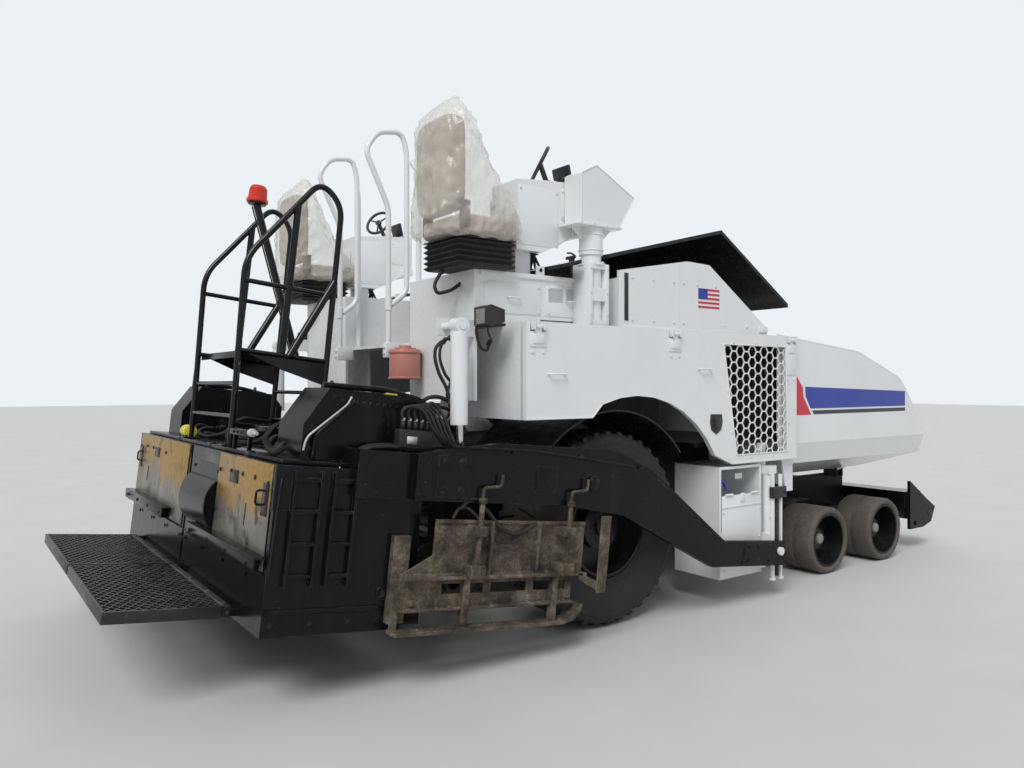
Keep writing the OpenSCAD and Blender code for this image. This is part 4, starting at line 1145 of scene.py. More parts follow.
# screed: drawn level like the solids, then hung nose down
walkSet = dict(rear=-2.958, front=-2.368, inner=0.02, outer=1.18, top=0.033, deep=0.06,
               pitch=(0.046, 0.078), bar=0.0065, thick=0.018)
railSet = dict(
    half=0.45, radius=0.019, step=1.38, plate=0.8,
    line=((-2.25, 0.8), (-2.25, 1.000), (-2.286, 1.937), (-1.87, 2.518), (-1.715, 2.398),
          (-1.7, 1.000), (-1.7, 0.8)),
    braces=(((-2.282, 1.803), (-1.708, 1.805), 0.015), ((-2.264, 1.38), (-1.704, 1.38), 0.015),
            ((-1.708, 1.897), (-1.953, 1.38), 0.024), ((-2.000, 1.38), (-2.000, 2.334), 0.022)),
    mast=((-1.727, 1.382), (-2.122, 2.386)))
beaconFoot = at(-2.122, 0, 2.3983)
rearSet = dict(wall=-2.3475, low=0.262, high=0.774, inner=(0.624, 0.06), outer=1.5, drum=(-2.345, 0.47, 0.15),
               guard=(-0.62, -0.06), bar=(0.272, 0.338), end=1.545)


def makeWalkway(side, label):
    s = walkSet
    y0, y1 = sorted((side * s["inner"], side * s["outer"]))
    rear, front, top, low = s["rear"], s["front"], s["top"], s["top"] - s["deep"]
    bm = bmesh.new()
    addBox(bm, at(rear, y0, low), at(rear + 0.014, y1, top), 0.002)
    addBox(bm, at(front - 0.034, y0, low), at(front, y1, top), 0.002)
    for y in (y0, y1 - 0.014):
        addBox(bm, at(rear + 0.012, y, low), at(front - 0.032, y + 0.014, top), 0.002)
    for y in (0.4, 0.79):
        barBox(bm, rear + 0.012, front - 0.032, side * y, 0.006, low + 0.008, top - 0.022, 0)
    addGrating(bm, at(rear + 0.012, y0 + 0.012, top - 0.004), at(front - 0.032, y1 - 0.012, top - 0.004),
               s["pitch"], s["bar"], s["thick"])
    sideRod(bm, side, front - 0.02, 0.004, 1.196, top - 0.03, 0.0095, 20)
    for y in (0.1, 0.46, 0.82, 1.12):
        addBolt(bm, at(front - 0.014, side * y, top), (0, 0, 1), 0.009, 0.005)
        barBox(bm, front - 0.03, front - 0.004, side * y, 0.03, top - 0.001, top + 0.003, 0.001)
    hang(bm)
    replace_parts(finishPiece("walkwayGrating" + label, bm, gratingBlack, "walkway_" + label.lower()),
                "walkway_" + label.lower())


def makeScreedRails():
    s = railSet
    half, plate, step = s["half"], s["plate"], s["step"]
    bm = bmesh.new()
    for side in (-1, 1):
        y, p = side * half, mirrored(side)
        addTube(bm, [at(x, y, z) for x, z in s["line"]], s["radius"], 0.11, 6, 8)
        for (xa, za), (xb, zb), radius in s["braces"]:
            addTube(bm, [at(xa, y, za), at(xb, y, zb)], radius)
        for x in (-2.25, -1.7):
            barBox(bm, x - 0.055, x + 0.055, y, 0.045, plate + 0.001, plate + 0.011)
            footBolts(bm, at(x, y, plate + 0.011), 0.038, 0.03, 0.009)
        addPlate(bm, [(-2.24, step - 0.004), (-1.72, step - 0.004), (-1.72, 1.23), (-1.98, 1.29)],
                 y - 0.004, y + 0.004)
        addTube(bm, [p(-2.262, half, 1.32), p(-2.262, half + 0.05, 1.3), p(-2.262, half + 0.05, 1.12),
                     p(-2.256, half, 1.1)], 0.006, 0.03, 4)
    # tread with raised buttons and a turned-down nose
    barBox(bm, -2.24, -1.72, 0, half - 0.001, step - 0.008, step + 0.001)
    barBox(bm, -2.246, -2.238, 0, half - 0.02, step - 0.04, step + 0.001)
    for row in range(11):
        for col in range(19):
            upRod(bm, -2.205 + row * 0.045, -0.405 + col * 0.045, step, step + 0.004, 0.011, 8, 0.007)
    for x in (-2.252, -1.702):
        for z in (0.98, 1.18):
            addTube(bm, [at(x, -half, z), at(x, half, z)], 0.013)
    (xa, za), (xb, zb) = s["mast"]
    addTube(bm, [at(xa, 0, za), at(xb, 0, zb)], 0.024, sides=6)
    upRod(bm, xb, 0, zb, zb + 0.012, 0.058, 32, soft=0.002)
    barBox(bm, xa - 0.05, xa + 0.05, 0, 0.05, za - 0.001, za + 0.01)
    footBolts(bm, at(xa, 0, za + 0.01), 0.035, 0.035, 0.007)
    # lead of the beacon down its mast
    addHose(bm, [at(xa - 0.03, 0.03, za + 0.02), at((xa + xb) / 2 - 0.03, 0.012, (za + zb) / 2),
                 at(xb - 0.02, 0.03, zb - 0.01)], 0.005)
    hang(bm)
    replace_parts(finishPiece("screedRails", bm, tubeBlack, "screed", smooth=False), "screed_rails")


def makeBeaconDress():
    bm = bmesh.new()
    for c, s in circle(28):
        way = Vector((c, s, 0))
        addRod(bm, beaconFoot + way * 0.0585 + Vector((0, 0, 0.03)),
               beaconFoot + way * 0.0548 + Vector((0, 0, 0.094)), 0.0022, 6)
    addRing(bm, beaconFoot + Vector((0, 0, 0.024)), (0, 0, 1), 0.0625, 0.003, 32)
    hang(bm)
    finishPiece("beaconRibs", bm, beaconRed, "screed")


def makeRearPanels(side, label):
    # covers on the rear wall, with a slot line and latch
    s = rearSet
    wall, low, high, (barLow, barHigh) = s["wall"], s["low"], s["high"], s["bar"]
    body, p = "extension_" + label.lower(), mirrored(side)
    inner = s["inner"][1 if side > 0 else 0]
    bm = bmesh.new()
    sideBox(bm, side, wall + 0.001, wall + 0.006, inner, s["outer"], low, high)
    barBox(bm, wall, wall + 0.0015, side * (inner + s["outer"]) / 2, 0.002, low + 0.02, high - 0.12, 0)
    hang(bm)
    finishPiece("rearPanel" + label, bm, panelSteel, body)
    bm = bmesh.new()
    for y, z in ((0.66, 0.68), (0.66, 0.3), (1.46, 0.68), (1.46, 0.3), (1.06, 0.69), (0.86, 0.69), (1.26, 0.69)):
        addBolt(bm, p(wall + 0.001, y, z), (-1, 0, 0), 0.009, 0.006)
    # slot in the panel, its lock plate and the grab bow
    barBox(bm, wall - 0.0015, wall + 0.002, side * 1.16, 0.004, 0.44, 0.55, 0)
    barBox(bm, wall - 0.004, wall + 0.002, side * 1.44, 0.04, 0.52, 0.68)
    addTube(bm, [p(wall, 1.4, 0.64), p(wall - 0.034, 1.4, 0.64), p(wall - 0.034, 1.4, 0.57), p(wall, 1.4, 0.57)],
            0.006, 0.016, 4)
    barBox(bm, wall - 0.003, wall + 0.002, side * 0.92, 0.07, 0.63, 0.7)
    # bumper bar under the panels: an angle with a rubbed edge
    sideBox(bm, side, wall - 0.062, wall - 0.052, 0.32, s["end"], barLow, barHigh)
    sideBox(bm, side, wall - 0.06, wall + 0.002, 0.32, s["end"], barHigh - 0.01, barHigh)
    for y in (0.4, 0.75, 1.1, 1.45):
        addBolt(bm, p(wall - 0.062, y, 0.3), (-1, 0, 0), 0.009, 0.006)
        barBox(bm, wall - 0.052, wall + 0.002, side * y, 0.004, 0.262, barHigh - 0.009, 0)
    for y in (0.06, 0.45, 0.85, 1.25):
        addBolt(bm, p(wall + 0.001, y, 0.205), (-1, 0, 0), 0.008, 0.005)
    addWeld(bm, p(wall + 0.001, 0.03, 0.252), p(wall + 0.001, 1.5, 0.252), 0.004)
    hang(bm)
    finishPiece("rearPanelFittings" + label, bm, screedBlack, body)
    # side ladder: rods, bolts and a spring latch on the end plate
    bm = bmesh.new()
    for x in (-2.187, -1.991):
        addTube(bm, [p(x, 1.53, 0.212), p(x, 1.53, 0.742)], 0.009, sides=4)
        for z in (0.33, 0.48, 0.63):
            upRod(bm, x, side * 1.53, z - 0.014, z + 0.014, 0.015, 6)
    for x in (-2.252, -2.122, -2.047, -1.935):
        sideBolts(bm, side, s["end"], (x,), (0.22, 0.74), 0.007)
    sideBolts(bm, side, s["end"], (-2.3, -2.1, -1.9, -1.7, -1.64), (0.02,), 0.01, 0.006)
    sideBolts(bm, side, s["end"], (-1.72,), (0.15,), 0.022, 0.012)
    addRing(bm, p(-1.72, s["end"] + 0.004, 0.15), (0, 1, 0), 0.034, 0.005, 24)
    addTube(bm, [p(-2.328, 1.535, 0.205), p(-2.328, 1.552, 0.4), p(-2.322, 1.552, 0.66), p(-2.31, 1.538, 0.72)],
            0.007, 0.05, 4)
    addWeld(bm, p(-2.33, 1.547, 0.092), p(-1.72, 1.547, 0.092), 0.004)
    hang(bm)
    finishPiece("sideLadder" + label, bm, tubeBlack, body)


def makeScreedTop():
    s = rearSet
    bm = bmesh.new()
    # curved guard over the drive between the panels
    (x, z, radius), (near, far) = s["drum"], s["guard"]
    profile = []
    for step in range(17):
        angle = math.radians(-60 + 15 * step)
        profile.append((x + 0.03 - radius * math.cos(angle) * 0.62, z + radius * math.sin(angle)))
    inner = [(px + (x + 0.03 - px) * 0.05, pz + (z - pz) * 0.05) for px, pz in profile]
    addPlate(bm, profile + inner[::-1], near, far)
    addPlate(bm, profile, near + 0.012, near + 0.02)
    for y in (-0.6, -0.1):
        addBolts(bm, [at(-2.338, y, 0.66), at(-2.338, y, 0.3)], (-1, 0, 0), 0.009)
    # rim along the top plate, lifting eyes, latches
    for y in (-0.95, -0.2, 0.55):
        barBox(bm, -2.302, -2.288, y, 0.05, 0.776, 0.806)
        addBolt(bm, at(-2.27, y, 0.8), (0, 0, 1), 0.01)
    for side in (-1, 1):
        p = mirrored(side)
        for x in (-1.98, -1.6):
            addRing(bm, p(x, 1.22, 1.198), (1, 0, 0), 0.022, 0.006, 20)
        spots = ((-2.14, 0.86), (-2.14, 0.96), (-2.03, 1.13), (-1.5, 1.13), (-1.46, 1.02), (-1.46, 0.86), (-1.8, 0.85))
        addBolts(bm, [p(x, 1.395, z) for x, z in spots], (0, side, 0), 0.009, 0.006)
        addWeld(bm, p(-2.17, 1.396, 0.804), p(-1.51, 1.396, 0.804), 0.005)
        # grab rail bent along the cover's slope
        addTube(bm, [p(-1.93, 1.395, 1.12), p(-1.93, 1.425, 1.12), p(-2.12, 1.425, 0.93), p(-2.12, 1.407, 0.81)],
                0.01, 0.035, 5)
        # top roll bar above the side boxes
        addTube(bm, [p(-2.06, 1.3, 1.192), p(-1.7, 1.3, 1.205), p(-1.48, 1.3, 1.172)], 0.017, 0.05, 5)
        for x, z in ((-2.04, 1.192), (-1.5, 1.176)):
            barBox(bm, x - 0.014, x + 0.014, side * 1.3, 0.012, 1.165, z + 0.004)
    # control shelf with its bar, by the steps
    addBox(bm, at(-2.306, -0.93, 0.88), at(-2.25, -0.6, 0.915), 0.004)
    for y in (-0.9, -0.64):
        barBox(bm, -2.29, -2.266, y, 0.006, 0.799, 0.882, 0.001)
    addBolts(bm, [at(-2.306, y, 0.898) for y in (-0.89, -0.82, -0.75, -0.68)], (-1, 0, 0), 0.007, 0.004)
    for y in (-1.00, -0.18, 0.64):
        for x in (-1.9, -1.59):
            addBolts(bm, [at(x, y + d, 0.93) for d in (0.03, 0.33)], (0, 0, 1), 0.008)
        addTube(bm, [at(x, y + 0.18, z) for x, z in ((-1.8, 0.93), (-1.8, 0.962), (-1.69, 0.962), (-1.69, 0.93))],
                0.006, 0.016, 4)
        # burner tube and coupling on each heater box
        addRod(bm, at(-1.932, y + 0.1, 0.872), at(-1.985, y + 0.1, 0.872), 0.03, 20, soft=0.003)
        addRod(bm, at(-1.985, y + 0.1, 0.872), at(-2.01, y + 0.1, 0.872), 0.018, 12)
    hang(bm)
    finishPiece("screedFittings", bm, screedBlack, "screed")
    # hoses clipped over the screed, one curl of spring cable among them
    bm = bmesh.new()
    for y, sag in ((-0.83, 0.00), (-0.71, 0.02), (-0.02, 0.01), (0.1, 0.03), (0.8, 0.0), (0.93, 0.02)):
        addHose(bm, [at(-2.01, y, 0.872), at(-2.08, y - 0.02, 0.868 + sag), at(-2.13, y - 0.09, 0.832),
                     at(-2.06, y - 0.17, 0.815 + sag), at(-1.95, y - 0.14, 0.822)], 0.012)
    for y in (-0.36, -0.32, 0.42, 0.47):
        addHose(bm, [at(-1.47, y, 0.812), at(-1.56, y + 0.01, 0.955), at(-1.75, y, 0.962), at(-1.94, y - 0.01, 0.955),
                     at(-2.02, y, 0.86), at(-2.16, y - 0.02, 0.815)], 0.011)
    for side in (-1, 1):
        p = mirrored(side)
        for lane, high in ((1.455, 0.905), (1.485, 0.895), (1.515, 0.9)):
            line = ((-1.93, 0.7), (-1.9, 0.86), (-1.78, high), (-1.62, high - 0.004), (-1.52, 0.9))
            addHose(bm, [p(x, lane, z) for x, z in line], 0.011)
        addHose(bm, [p(-2.06, 1.44, 0.78), p(-2.1, 1.47, 0.66), p(-2.07, 1.49, 0.5), p(-1.96, 1.47, 0.44)], 0.012)
    curl = []
    for step in range(240):
        t = step / 239
        middle = at(-2.235 - 0.02 * t, -1.02 - 0.36 * t, 0.872 - 0.05 * math.sin(math.pi * t))
        angle = 2 * math.pi * 20 * t
        curl.append(middle + Vector((math.cos(angle), 0, math.sin(angle))) * 0.016)
    addTube(bm, curl, 0.0042, 0.002, 2, 1)
    hang(bm)
    finishPiece("screedHoses", bm, hoseRubber, "screed", smooth=True)
    bm = bmesh.new()
    sideRod(bm, -1, -2.312, 1.00, 1.045, 0.905, 0.022, 20, soft=0.004)
    sideRod(bm, -1, -2.312, 1.045, 1.1, 0.905, 0.01)
    addTube(bm, [at(-1.938, -1.402, 1.142), at(-1.96, -1.412, 1.1), at(-2.164, -1.412, 0.915),
                 at(-2.17, -1.404, 0.848)], 0.006, 0.04, 4)
    hang(bm)
    finishPiece("screedLever", bm, labelGrey, "screed")
    bm = bmesh.new()
    barBox(bm, -1.7, -1.628, -1.3, 0.018, 1.178, 1.19, 0.003)
    sideRod(bm, 1, -2.255, 0.44, 0.56, 0.845, 0.045, 28, soft=0.006)
    barBox(bm, -2.27, -2.24, 0.5, 0.025, 0.799, 0.83, 0.003)
    hang(bm)
    finishPiece("cableReel", bm, reelYellow, "screed")


for side, label in sides:
    makeWalkway(side, label)
    makeRearPanels(side, label)
makeScreedRails()
makeBeaconDress()
makeScreedTop()
print("screed dressed")


# fuller forms than the solids have: grilles, bellows, levers, stack, lamps, wings, arms, screed, gates
formSet = dict(
    grille=((0.9884, 1.8866), (1.7226, 1.8866), (1.7476, 1.0814), (1.1344, 1.0814)), cell=0.081, wall=0.01,
    console=((-0.685, 2.436), (-0.685, 2.867), (-0.129, 2.919), (-0.129, 2.624), (-0.334, 2.498), (-0.481, 2.432)),
    lamp=((-1.018, 1.945), (-1.018, 2.05), (-0.985, 2.062), (-0.89, 2.036), (-0.89, 1.962), (-0.985, 1.935)),
    canister=(-1.1083, -0.65), wingRear=1.905, wingY=1.49, hinge=(0.745, 0.77), hinges=(2.05, 2.85, 3.7),
    wing=((1.905, 1.962), (2.829, 1.877), (3.507, 1.657), (3.63, 1.54), (3.824, 1.306)),
    fold=((3.63, 1.54), (3.824, 1.306), (3.958, 1.13), (3.944, 1.128), (3.812, 1.3), (3.618, 1.532)),
    arm=((-1.64, 0.88), (-1.64, 0.64), (-0.645, 0.639), (-0.144, 0.591), (0.75, 0.25), (1.56, 0.25),
         (1.56, 0.43), (0.86, 0.43), (0.087, 0.884), (-0.253, 0.992), (-1.116, 0.972), (-1.541, 0.903)),
    cover=((-2.18, 0.801), (-2.18, 0.98), (-2.06, 1.177), (-1.5, 1.177), (-1.42, 1.08), (-1.42, 0.84),
           (-1.5, 0.801)),
    gate=((-1.47, 0.54), (-0.42, 0.54), (-0.42, 0.228), (-0.49, 0.228), (-0.49, 0.198), (-1.65, 0.198),
          (-1.65, 0.25), (-1.47, 0.35)),
    ski=((-1.69, -0.05), (-0.58, -0.05), (-0.5, -0.028), (-0.45, 0.02), (-0.44, 0.06), (-0.458, 0.06),
         (-0.47, 0.026), (-0.52, -0.012), (-0.59, -0.032), (-1.69, -0.032)),
    gateBolts=((-1.42, 0.4), (-1.42, 0.5), (-1.05, 0.5), (-0.8, 0.5), (-0.46, 0.5), (-0.46, 0.3),
               (-1.58, 0.1), (-1.105, 0.1), (-0.805, 0.1), (-0.52, 0.1)),
    jacks=(-1.235, -0.605), jackY=1.676, auger=(-1.165, 0.45, 0.19), lumps=110, seed=7)


def sidePlate(bm, side, outline, y0, y1):
    addPlate(bm, outline, side * y0, side * y1)


def wallFaces(bm, low, high):
    # the faces between two rings of the same count
    count = len(low)
    return [bm.faces.new((low[k], low[(k + 1) % count], high[(k + 1) % count], high[k])) for k in range(count)]


def makeGrille(side, label):
    s = formSet
    bm = bmesh.new()
    across = s["cell"] * math.sin(math.radians(60))
    y = side * 1.5335
    for i in range(13):
        for j in range(12):
            x, z = 0.975 + i * across, 1.07 + (j + (i % 2) / 2) * s["cell"]
            rings = []
            for wide in (s["cell"] / 2 + 1e-5, (s["cell"] - s["wall"]) / 2):
                reach = wide / math.cos(math.radians(30))
                rings.append([bm.verts.new(at(x + reach * c, y, z + reach * d)) for c, d in circle(6)])
            wallFaces(bm, *rings)
    middle = at(1.4, 0, 1.48)
    for (xa, za), (xb, zb) in zip(s["grille"], s["grille"][1:] + s["grille"][:1]):
        way = Vector((zb - za, 0, xa - xb)).normalized()
        if (at(xa, 0, za) - middle).dot(way) < 0:
            way = -way
        bmesh.ops.bisect_plane(bm, geom=bm.verts[:] + bm.edges[:] + bm.faces[:], dist=1e-6,
                               plane_co=at(xa, y, za), plane_no=way, clear_outer=True)
    bmesh.ops.remove_doubles(bm, verts=bm.verts, dist=1e-4)
    bmesh.ops.recalc_face_normals(bm, faces=bm.faces)
    bmesh.ops.solidify(bm, geom=bm.faces[:], thickness=0.006)
    bmesh.ops.recalc_face_normals(bm, faces=bm.faces)
    finishPiece("hexGrille" + label, bm, bodyWhite, "door_" + label.lower())
    bm = bmesh.new()
    sideBox(bm, side, 1.01, 1.78, 1.33, 1.42, 1.182, 1.915, 0)
    for step in range(24):
        x = 1.05 + step * 0.03
        sideBox(bm, side, x, x + 0.006, 1.419, 1.444, 1.182, 1.915, 0)
    finishPiece("coolerCore" + label, bm, coolerFins, "tractor")


def makeStations():
    body = bmesh.new()
    for side, label in sides:
        sidePlate(body, side, formSet["console"], 1.04, 1.305)
        sideBox(body, side, -0.64, -0.52, 1.11, 1.23, 2.2855, 2.437, 0.004)
        # bellows: rings loft between folds
        bm = bmesh.new()
        rings = []
        for level in range(11):
            half, z = (0.204 if level % 2 else 0.183), 2.2855 + level * 0.01665
            rings.append([bm.verts.new(at(-0.965 + a * half, side * 1.2 + b * half, z))
                          for a, b in ((-1, -1), (1, -1), (1, 1), (-1, 1))])
        for low, high in zip(rings, rings[1:]):
            wallFaces(bm, low, high)
        for ring in (rings[0], rings[-1]):
            bm.faces.new(ring)
        bmesh.ops.recalc_face_normals(bm, faces=bm.faces)
        finishPiece("seatBellows" + label, bm, hoseRubber, "tractor", angle=20)
        # steering wheel on its column, turned as the photo shows it, and levers with knobs
        bm = bmesh.new()
        hub = at(-0.395, side * 1.17, 3.037)
        way = Vector((0.5, 0, 0.866)).cross(at(-0.395, -1.17, 3.037) - at(*cameraSet["place"])).normalized()
        way = Vector((way.x, -side * way.y, way.z)) * (1 if way.z > 0 else -1)
        addRing(bm, hub, way, 0.112, 0.0125, 40, 12)
        addRod(bm, hub - way * 0.012, hub + way * 0.012, 0.026, 24, soft=0.003)
        for turn in (90, 210, 330):
            arm = Matrix.Rotation(math.radians(turn), 3, way) @ way.orthogonal().normalized()
            addRod(bm, hub, hub + arm * 0.108, 0.007, 10)
        addRod(bm, at(-0.33, side * 1.17, 2.9), hub, 0.017, 20)
        upRod(bm, -0.33, side * 1.17, 2.895, 2.935, 0.036, 24, 0.026, 0.003)
        for x, y, z, radius in ((-0.205, 1.15, 2.985, 0.023), (-0.165, 1.245, 2.955, 0.016),
                                (-0.255, 1.245, 2.945, 0.014)):
            upRod(bm, x, side * y, 2.905, z, 0.006, 12)
            upRod(bm, x, side * y, 2.895, 2.925, 0.02, 20, 0.008)
            addBall(bm, at(x, side * y, z), radius, 18)
        finishPiece("controlGear" + label, bm, lampPlastic, "tractor")
    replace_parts(finishPiece("consoleBodies", body, bodyWhite, "tractor"), "consoles")


def makeStack():
    x, y = stackSet["x"], stackSet["y"]
    bm = bmesh.new()
    for dx in (-0.085, 0.055):
        barBox(bm, x + dx, x + dx + 0.03, y, 0.082, 1.9705, 2.37, 0.003)
    for low, high in ((1.9705, 2.01), (2.13, 2.215), (2.335, 2.37)):
        barBox(bm, x - 0.056, x + 0.056, y, 0.081, low, high, 0)
    for low, high, radius in ((2.0, 2.44, 0.067), (2.43, 2.61, 0.078), (2.362, 2.378, 0.092)):
        upRod(bm, x, y, low, high, radius, 48)
    addBox(bm, at(-0.353, y - 0.095, 2.604), at(0.033, y + 0.085, 2.62), 0.003)
    addPlate(bm, hoodLine(2.618), y - 0.08, y + 0.08)
    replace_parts(finishPiece("stackColumn", bm, railWhite, "tractor"), "vent_stack")


def makeLamps():
    bm, lens = bmesh.new(), bmesh.new()
    for side in (-1, 1):
        p = mirrored(side)
        sidePlate(bm, side, formSet["lamp"], 1.35, 1.47)
        sideBox(bm, side, -0.93, -0.906, 1.3105, 1.352, 1.985, 2.03, 0.003)
        for z in (1.946, 2.044):
            sideBox(bm, side, -1.028, -1.015, 1.35, 1.47, z - 0.004, z + 0.006)
        for y in (1.354, 1.466):
            sideBox(bm, side, -1.028, -1.015, y - 0.005, y + 0.005, 1.942, 2.05)
        addTube(bm, [p(-0.96, 1.395, 1.94), p(-0.96, 1.395, 1.9), p(-0.92, 1.38, 1.86), p(-0.9, 1.33, 1.84)], 0.006,
                0.03, 4)
        for row in range(9):
            sideBox(lens, side, -1.0245, -1.017, 1.359, 1.461, 1.95 + row * 0.0104, 1.9597 + row * 0.0104)
    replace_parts(finishPiece("lampHousings", bm, lampPlastic, "tractor"), "lamps")
    finishPiece("lampLenses", lens, lensGlass, "tractor")


def makeCanister():
    x, y = formSet["canister"]
    bm = bmesh.new()
    for low, high, radius in ((1.63, 1.826, 0.101), (1.634, 1.648, 0.108), (1.8, 1.815, 0.108),
                              (1.826, 1.836, 0.06), (1.83, 1.852, 0.042)):
        upRod(bm, x, y, low, high, radius, 48, soft=0.0025)
    for c, s in circle(4, 20):
        upRod(bm, x + 0.084 * c, y + 0.084 * s, 1.826, 1.834, 0.008, 6)
    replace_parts(finishPiece("fuelCanister", bm, canisterRed, "tractor"), "canister")


def makeWing(side, label):
    s = formSet
    out, (hy, hz) = s["wingY"], s["hinge"]
    bm = bmesh.new()
    sidePlate(bm, side, s["wing"] + ((3.958, 1.13), (s["wingRear"], 1.13)), out - 0.016, out)
    section = [(out - 0.016, 1.132), (out, 1.13), (out - 0.05, 0.965), (hy + 0.075, hz + 0.005),
               (hy + 0.05, hz + 0.015),
               (out - 0.058, 0.981)]
    ends = [[bm.verts.new(at(x, side * y, z)) for y, z in section] for x in (s["wingRear"], 3.94)]
    bmesh.ops.recalc_face_normals(bm, faces=[bm.faces.new(end) for end in ends] + wallFaces(bm, *ends))
    addTube(bm, [at(x, side * (out - 0.008), z) for x, z in s["wing"]], 0.01, 0.05, 4)
    for x in s["hinges"]:
        sideBox(bm, side, x - 0.038, x + 0.038, hy + 0.02, hy + 0.068, hz - 0.006, hz + 0.014, 0)
        for reach, radius, count in ((0.038, 0.032, 24), (0.064, 0.012, 16)):
            addRod(bm, at(x - reach, side * hy, hz), at(x + reach, side * hy, hz), radius, count)
    # folded front edge, gusset, and stiffening folds inside
    sidePlate(bm, side, s["fold"], out - 0.045, out - 0.015)
    for x, top in ((2.35, 1.8), (3.05, 1.8), (3.55, 1.6)):
        sideBox(bm, side, x, x + 0.05, out - 0.03, out - 0.015, 1.14, top, 0.006)
    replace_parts(finishPiece("hopperWing" + label, bm, bodyWhite, "wing_" + label.lower()),
                "wing_" + label.lower())


def makeArms():
    bm = bmesh.new()
    for side in (-1, 1):
        sidePlate(bm, side, formSet["arm"], 1.595, 1.645)
        sideRod(bm, side, -1.2, 1.4, 1.62, 1.18, 0.025, 24)
        # pad plates, bolts and seams on the outer face
        sidePlate(bm, side, [(1.42, 0.262), (1.42, 0.418), (1.1, 0.418), (1.06, 0.262)], 1.644, 1.652)
        sideBolts(bm, side, 1.652, (1.13, 1.24, 1.37), (0.29, 0.39), 0.012, 0.008)
        sidePlate(bm, side, [(-1.52, 0.66), (-1.52, 0.88), (-1.36, 0.9), (-1.3, 0.66)], 1.644, 1.652)
        sideBolts(bm, side, 1.652, (-1.47, -1.37), (0.7, 0.85), 0.014, 0.008)
        addWeld(bm, at(0.78, side * 1.646, 0.43), at(0.12, side * 1.646, 0.84), 0.005)
        barBox(bm, -0.86, -0.7, side * 1.648, 0.004, 0.7, 0.86, 0.003)
    # the lift pin stands where the cylinders hold it, and the rest hangs
    lifted = {v for v in bm.verts if abs(v.co.z - 1.18) < 0.04 and abs(v.co.x - at(-1.2, 0, 0).x) < 0.04}
    bmesh.ops.transform(bm, matrix=hangTurn, verts=[v for v in bm.verts if v not in lifted])
    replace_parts(finishPiece("towArms", bm, armBlack, "screed"), "tow_arms")


def makeScreedCovers():
    bm = bmesh.new()
    barBox(bm, -2.3, -1.495, 0, 1.48, 0.7795, 0.8005, 0.003)
    for side in (-1, 1):
        sidePlate(bm, side, formSet["cover"], 1.05, 1.395)
        for step in range(11):
            sideRod(bm, side, -1.98 + step * 0.04, 1.39, 1.398, 1.115, 0.009, 12)
        for z in (0.36, 0.6):
            sideRod(bm, side, -2.11, 1.39, 1.452, z, 0.042, 28, soft=0.004)
    for y in (-1.0, -0.18, 0.64):
        addBox(bm, at(-1.93, y, 0.799), at(-1.56, y + 0.36, 0.93), 0.004)
    hang(bm)
    finishPiece("screedCovers", bm, screedBlack, "screed")
    bm = bmesh.new()
    levels = ((0.0, 0.006, 0.066, 0.07), (0.006, 0.022, 0.07, 0.07), (0.022, 0.096, 0.06, 0.056),
              (0.096, 0.112, 0.056, 0.046), (0.112, 0.12, 0.046, 0.02))
    for base, top, radius, tip in levels:
        addRod(bm, beaconFoot + Vector((0, 0, base)), beaconFoot + Vector((0, 0, top)), radius, 40, tip)
    hang(bm)
    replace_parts(finishPiece("beaconLamp", bm, beaconRed, "screed"), "beacon")


def makeLadder(side, label):
    bm = bmesh.new()
    sideBox(bm, side, -2.344, -1.6, 1.508, 1.5455, 0.56, 0.777)
    sideBox(bm, side, -2.344, -2.3, 0.03, 1.51, 0.7, 0.777)
    for low, high in ((-2.262, -2.112), (-2.057, -1.925)):
        for x in (low, high - 0.015):
            sideBox(bm, side, x, x + 0.015, 1.544, 1.574, 0.199, 0.757)
        for z in (0.24, 0.395, 0.55, 0.705):
            sideBox(bm, side, low, high, 1.544, 1.568, z, z + 0.018)
    sideBox(bm, side, -2.33, -1.71, 1.544, 1.556, 0.07, 0.09)
    hang(bm)
    finishPiece("ladderRibs" + label, bm, screedBlack, "extension_" + label.lower())


